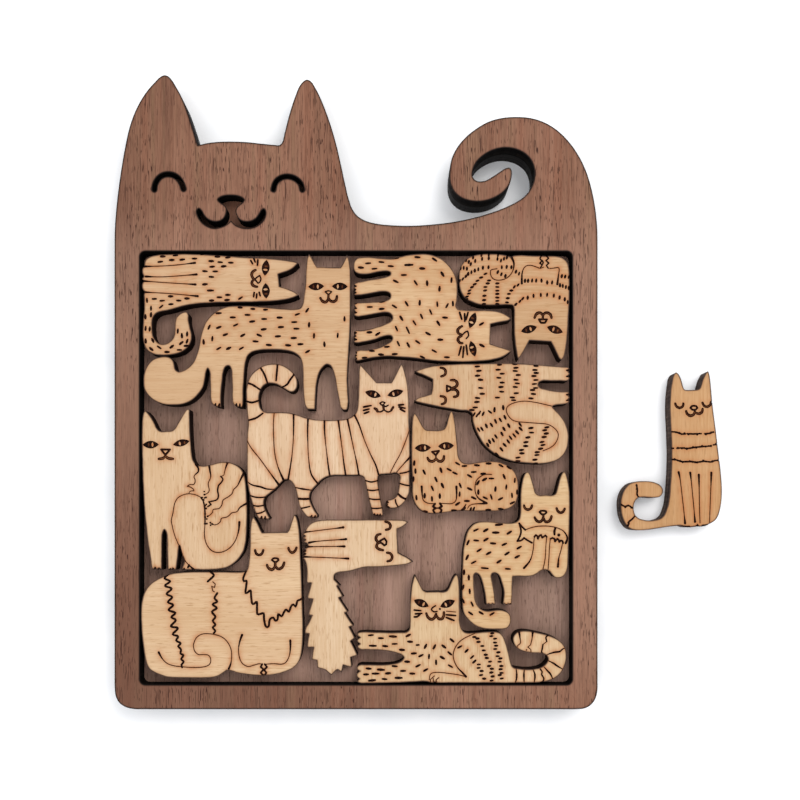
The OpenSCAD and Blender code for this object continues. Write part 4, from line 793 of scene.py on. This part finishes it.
class Mat:
    """A small helper for building node materials."""

    def __init__(self, name):
        self.m = bpy.data.materials.new(name)
        self.m.use_nodes = True
        self.t = self.m.node_tree
        self.b = self.t.nodes["Principled BSDF"]
        self.co = self.n("ShaderNodeTexCoord").outputs["Object"]

    def n(self, kind, **kw):
        x = self.t.nodes.new(kind)
        for k, v in kw.items():
            setattr(x, k, v)
        return x

    def link(self, a, b):
        self.t.links.new(a, b)

    def stretch(self, scale, across=False, move=(0, 0, 0)):
        """Object coordinates stretched along Y, or along X where the grain runs left to right."""
        x = self.n("ShaderNodeMapping")
        x.inputs["Scale"].default_value = (scale[1], scale[0], scale[2]) if across else scale
        x.inputs["Location"].default_value = move
        self.link(self.co, x.inputs["Vector"])
        return x.outputs["Vector"]

    def noise(self, vec, scale=1.0, detail=3.0, rough=.55, warp=0.0):
        x = self.n("ShaderNodeTexNoise")
        x.inputs["Scale"].default_value = scale
        x.inputs["Detail"].default_value = detail
        x.inputs["Roughness"].default_value = rough
        x.inputs["Distortion"].default_value = warp
        self.link(vec, x.inputs["Vector"])
        return x.outputs["Fac"]

    def ramp(self, fac, *stops):
        x = self.n("ShaderNodeValToRGB")
        e = x.color_ramp.elements
        e[0].position, e[0].color = stops[0][0], stops[0][1]
        e[1].position, e[1].color = stops[-1][0], stops[-1][1]
        for p, c in stops[1:-1]:
            k = e.new(p); k.color = c
        self.link(fac, x.inputs["Fac"])
        return x.outputs["Color"]

    def span(self, fac, a, b, c=0.0, d=1.0):
        x = self.n("ShaderNodeMapRange")
        x.inputs["From Min"].default_value = a
        x.inputs["From Max"].default_value = b
        x.inputs["To Min"].default_value = c
        x.inputs["To Max"].default_value = d
        self.link(fac, x.inputs["Value"])
        return x.outputs["Result"]

    def math(self, op, a, b):
        x = self.n("ShaderNodeMath", operation=op)
        for i, v in enumerate((a, b)):
            if isinstance(v, (int, float)):
                x.inputs[i].default_value = v
            else:
                self.link(v, x.inputs[i])
        return x.outputs[0]

    def mix(self, fac, a, b, how="MIX"):
        x = self.n("ShaderNodeMix", data_type="RGBA", blend_type=how)
        for s, v in ((x.inputs[0], fac), (x.inputs[6], a), (x.inputs[7], b)):
            if isinstance(v, (int, float)):
                s.default_value = v
            elif isinstance(v, tuple):
                s.default_value = v
            else:
                self.link(v, s)
        return x.outputs[2]

    def attr(self, name):
        return self.n("ShaderNodeAttribute", attribute_name=name).outputs["Fac"]

    def bump(self, height, strength, dist):
        x = self.n("ShaderNodeBump")
        x.inputs["Strength"].default_value = strength
        x.inputs["Distance"].default_value = dist
        self.link(height, x.inputs["Height"])
        self.link(x.outputs["Normal"], self.b.inputs["Normal"])

    def done(self, color, rough, spec=.35):
        self.link(color, self.b.inputs["Base Color"])
        if isinstance(rough, float):
            self.b.inputs["Roughness"].default_value = rough
        else:
            self.link(rough, self.b.inputs["Roughness"])
        self.b.inputs["Specular IOR Level"].default_value = spec
        return self.m


def maple(name, across, light, mid, dark, seed):
    """Pale close-grained face with fine fibres. across=True runs the grain left to right."""
    k = Mat(name)
    mv = (seed * 3.7, seed * 1.9, seed)
    band = k.noise(k.stretch((70, 9, 40), across, mv), 1, 3, .5, .6)
    fibre = k.noise(k.stretch((1500, 75, 400), across, mv), 1, 4, .65)
    pale_fibre = k.noise(k.stretch((2100, 60, 500), across, (mv[0] + 9, mv[1], 2)), 1, 3, .6)
    fleck = k.noise(k.stretch((2400, 240, 900), across, mv), 1, 2, .5)
    mott = k.noise(k.stretch((38, 26, 30), across, mv), 1, 2, .5)
    base = k.ramp(band, (.28, wood(dark)), (.5, wood(mid)), (.72, wood(light)))
    base = k.mix(k.span(fibre, .36, .66, 0, .80), base, wood(dark))
    base = k.mix(k.span(pale_fibre, .50, .66, 0, .42), base, wood(light))
    base = k.mix(k.span(fleck, .59, .68, 0, .60), base, wood("b18252"))
    base = k.mix(k.span(mott, .40, .70, 0, .25), base, wood(light))
    smoke = k.noise(k.stretch((240, 240, 240), False, mv), 1, 3, .6)
    burn = k.math("MULTIPLY", k.attr("scorch"), k.span(smoke, .3, .7, .30, 1.1))
    base = k.mix(k.math("MULTIPLY", burn, .86), base, wood("c07238"))
    rim = k.attr("rim")
    edge = k.math("MULTIPLY", rim, k.span(smoke, .3, .7, .75, 1.1))
    base = k.mix(k.span(edge, .05, .60, 0, .62), base, wood("8f5628"))
    base = k.mix(k.span(edge, .34, .80, 0, .96), base, wood("2a1209"))
    k.bump(k.math("ADD", k.math("MULTIPLY", fibre, .6), k.math("MULTIPLY", fleck, .5)), .25, .00012)
    return k.done(base, k.span(fibre, .3, .7, .50, .66), .3)


def burnt(name, a, b, c, rough=.85):
    """Charred wood: mottled, with soot and short fibres."""
    k = Mat(name)
    soot = k.noise(k.stretch((900, 900, 900)), 1, 4, .6)
    big = k.noise(k.stretch((130, 130, 130)), 1, 2, .5)
    f = k.math("ADD", k.math("MULTIPLY", soot, .6), k.math("MULTIPLY", big, .4))
    col = k.ramp(f, (.34, srgb(a)), (.52, srgb(b)), (.70, srgb(c)))
    k.bump(soot, .5, .00015)
    return k.done(col, k.span(soot, .3, .7, rough - .12, rough), .06)


def edge_ply(name, a, b, c):
    """The charred laser-cut edge of plywood: soot, thin glue lines and faint upright streaks."""
    k = Mat(name)
    ply = k.noise(k.stretch((14, 14, 2300)), 1, 2, .45)
    streak = k.noise(k.stretch((1300, 1300, 60)), 1, 3, .6)
    soot = k.noise(k.stretch((420, 420, 420)), 1, 3, .6)
    f = k.math("ADD", k.math("MULTIPLY", ply, .5), k.math("ADD", k.math("MULTIPLY", streak, .25), k.math("MULTIPLY", soot, .25)))
    col = k.ramp(f, (.36, srgb(a)), (.50, srgb(b)), (.66, srgb(c)))
    k.bump(k.math("ADD", ply, k.math("MULTIPLY", streak, .6)), .5, .0002)
    return k.done(col, k.span(soot, .3, .7, .70, .88), .04)


def walnut(name, light, mid, dark, pore, seed=0.0, by_side=True, rim=True, shade_lower_left=False, cut_floor=False, lines=1.0):
    """Brown open-grained face: soft upright bands, fine fibres and short dark pores."""
    k = Mat(name)
    mv = (seed, seed * .7, 0)
    band = k.noise(k.stretch((48, 4.0, 30), False, mv), 1, 4, .55, .9)
    fibre = k.noise(k.stretch((1700, 42, 300), False, mv), 1, 4, .7)
    fine = k.noise(k.stretch((3000, 95, 900), False, mv), 1, 2, .5)
    pore1 = k.noise(k.stretch((3500, 330, 400), False, mv), 1, 1, .4)
    pore2 = k.noise(k.stretch((3900, 130, 500), False, (mv[0] + 7, mv[1] + 2, 3)), 1, 1, .4)
    where = k.noise(k.stretch((160, 22, 60), False, (3 + seed, 1, 0)), 1, 2, .5)
    base = k.ramp(band, (.32, wood(dark)), (.5, wood(mid)), (.68, wood(light)))
    base = k.mix(k.span(fibre, .38, .62, 0, .66 * lines), base, wood(dark))
    base = k.mix(k.span(fine, .48, .66, 0, .50 * lines), base, wood(light))
    base = k.mix(k.span(fine, .50, .34, 0, .45 * lines), base, wood(dark))
    hue = k.noise(k.stretch((420, 5, 60), False, (mv[0] + 3, mv[1], 1)), 1, 2, .5)
    base = k.mix(k.span(hue, .53, .66, 0, .24 * lines), base, wood("8d7757"))
    base = k.mix(k.span(hue, .47, .34, 0, .30 * lines), base, wood("8c4d35"))
    # painted shade: the face is darker towards the lower left, away from the light, and a band across the middle is a
    # little lighter outside that shade
    if shade_lower_left:
        xy = k.n("ShaderNodeSeparateXYZ")
        k.link(k.co, xy.inputs[0])
        shade = k.math("MULTIPLY", k.span(xy.outputs["X"], .03, -.075, 0, 1), k.span(xy.outputs["Y"], .045, -.04, 0, 1))
        base = k.mix(k.math("MULTIPLY", shade, .62), base, wood(dark))
        lift = k.math("MULTIPLY", k.span(xy.outputs["Y"], .086, .066, 0, 1), k.span(xy.outputs["Y"], -.078, -.05, 0, 1))
        lift = k.math("MULTIPLY", lift, k.math("SUBTRACT", 1.0, shade))
        base = k.mix(k.math("MULTIPLY", lift, .26), base, wood("bd957f"))
    p = k.math("ADD", k.span(pore1, .640, .672, 0, 1), k.span(pore2, .640, .675, 0, .9))
    p = k.math("MULTIPLY", k.math("MINIMUM", p, 1.0), k.span(where, .40, .58, .30, 1))
    base = k.mix(k.math("MULTIPLY", p, .90 if lines > .5 else .62), base, wood(pore))
    if cut_floor:  # browner under the cut-through face; painted shade: darker towards the pocket's sides, near its walls
        xy = k.n("ShaderNodeSeparateXYZ")
        k.link(k.co, xy.inputs[0])
        out = k.math("ABSOLUTE", k.math("SUBTRACT", xy.outputs["X"], .004), 0)
        base = k.mix(k.span(out, .026, .050, 0, .27), base, wood("3a2a24"))
        base = k.mix(k.span(xy.outputs["Y"], .074, .077, 0, .75), base, wood("8a5a43"))
        # darkened to near black under the narrow slots of the eyes and the ends of the mouth
        off = k.math("ABSOLUTE", k.math("ADD", xy.outputs["X"], .040), 0)
        under_slot_dark = k.math("MULTIPLY", k.span(off, .003, .006, 0, .8), k.span(xy.outputs["Y"], .074, .077, 0, 1))
        base = k.mix(under_slot_dark, base, wood("1a0f0a"))
    if rim:
        r = k.attr("rim")
        base = k.mix(k.span(r, .10, .60, 0, .55), base, wood("4a2a1c"))
        base = k.mix(k.span(r, .36, .80, 0, .97), base, wood("150a06"))
    if by_side:
        nz = k.n("ShaderNodeSeparateXYZ")
        k.link(k.n("ShaderNodeNewGeometry").outputs["Normal"], nz.inputs[0])
        up = k.math("ABSOLUTE", nz.outputs["Z"], 0)
        ply = k.noise(k.stretch((14, 14, 2300)), 1, 2, .45)
        char = k.ramp(ply, (.38, srgb("030202")), (.50, srgb("0a0807")), (.64, srgb("211b18")))
        side = k.span(up, .35, .65, 1, 0)
        base = k.mix(side, base, char)
    h = k.math("SUBTRACT", k.math("MULTIPLY", fibre, .5), k.math("MULTIPLY", p, .9))
    k.bump(h, .35, .00018)
    return k.done(base, k.span(fibre, .3, .7, .56, .70), .12)


frame_mats = [walnut("walnut_face", "a67861", "906650", "704b3b", "371a12", 0.0, False, True, True, False, .68),
              burnt("walnut_line", "120a07", "22140e", "3a241a"), burnt("walnut_line_pale", "2a1810", "3a2318", "57382a"),
              edge_ply("walnut_edge", "030202", "0a0807", "211b18")]
base_mat = walnut("walnut_base", "c8a290", "b6907e", "967363", "4a2f26", 5.3, True, False, False, True, .45)
char_dark = burnt("burnt_line", "0e0402", "1d0a05", "38190c")
char_pale = burnt("burnt_line_thin", "3a1c0e", "562f19", "784a28")
cat_edge = edge_ply("maple_edge", "0a0504", "160d0a", "33231b")
# painted light: a lighter copy of the charred edge for the loose cat, whose walls stand in the open light
cat_edge_painted_lit = edge_ply("maple_edge_painted_lit", "231b18", "433732", "776459")

CATS = {  # grain across, then the light, middle and dark tones of the face
    "cat_lying": (True, "e3bf98", "dbb58c", "cda277"), "cat_two_ears_spots": (True, "e2bd93", "d9b187", "c99c6f"),
    "cat_sideways": (True, "e4bf93", "dcb488", "cc9f70"), "cat_upside_down": (True, "d8b086", "cfa579", "bd9062"),
    "cat_striped_walker": (False, "f0d2b0", "e9c6a1", "d9b28a"), "cat_curled": (False, "e1bf98", "d8b38a", "c89f74"),
    "cat_loaf": (False, "dfb68a", "d6aa7b", "c59564"), "cat_sitting": (False, "ebcaa5", "e3bf97", "d3ab7f"),
    "cat_with_fish": (True, "eac99a", "e1bb8d", "d0a674"), "cat_long_chest": (True, "eecca2", "e6c199", "d7ae82"),
    "cat_bushy_tail": (False, "efd1ad", "e7c59f", "d9b389"), "cat_crouching": (False, "eed0a7", "e6c49a", "d5b084"),
    "cat_loose": (False, "dcae7c", "d2a16f", "c18e5a")}

tray_top = sheet_piece("tray_frame_sheet", "tray_frame", "tray", frame_mats, fine=2.6, coarse=2.6, step=0.7, rings=(0.2, 0.4, 0.8), rim_width=0.42)
for i, (cat, (across, light, mid, dark)) in enumerate(CATS.items()):
    face = maple(cat + "_face", across, light, mid, dark, 1.0 + i * 1.37)
    ob = sheet_piece(cat + "_sheet", cat, cat, [face, char_dark, char_pale, cat_edge_painted_lit if cat == "cat_loose" else cat_edge], LINES[cat], cat == "cat_loose")
base = NODES["tray_base"]
for s in base.material_slots:
    s.material = base_mat
if not base.material_slots:
    base.data.materials.append(base_mat)
for o in NODES.values():
    if o is not base:
        for s in o.material_slots:
            s.material = base_mat

# ---------------------------------------------------------------- floor, light, camera
me = bpy.data.meshes.new("floor")
me.from_pydata([(-3, -3, -.00005), (3, -3, -.00005), (3, 3, -.00005), (-3, 3, -.00005)], [], [(0, 1, 2, 3)])
k = Mat("floor_paper")
spot = k.noise(k.stretch((60, 60, 60)), 1, 2, .5)
me.materials.append(k.done(k.ramp(spot, (.3, srgb("f4f5f7")), (.7, srgb("fbfbfc"))), .95, .1))
floor = bpy.data.objects.new("floor", me)
bpy.context.scene.collection.objects.link(floor)


def area(name, at, aim, size, watts, color=(1, 1, 1)):
    l = bpy.data.lights.new(name, "AREA")
    l.shape, l.size, l.size_y, l.energy, l.color = "RECTANGLE", size[0], size[1], watts, color
    o = bpy.data.objects.new(name, l)
    o.location = at
    o.rotation_euler = (Vector(aim) - Vector(at)).to_track_quat("-Z", "Y").to_euler()
    bpy.context.scene.collection.objects.link(o)


area("key", (0.42, 0.50, 0.80), (0, 0, 0), (0.6, 0.6), 5.2, (1, .985, .96))
area("fill", (-0.55, -0.30, 0.85), (0, 0, 0), (0.8, 0.8), 1.8, (.95, .97, 1))
w = bpy.data.worlds.new("studio")
bpy.context.scene.world = w
w.use_nodes = True
bg = w.node_tree.nodes["Background"]
bg.inputs["Color"].default_value = (.985, .99, 1, 1)
bg.inputs["Strength"].default_value = 0.96
bpy.context.scene.view_settings.view_transform = "Standard"
bpy.context.scene.view_settings.look = "None"

cam = bpy.data.cameras.new("camera")
cam.sensor_width, cam.lens, cam.shift_x, cam.shift_y = 36, 35.87, 0.010, 0.150
cam.clip_start, cam.clip_end = .01, 50
co = bpy.data.objects.new("camera", cam)
co.location = (0.01152, -0.01664, 0.2646)
bpy.context.scene.collection.objects.link(co)
bpy.context.scene.camera = co
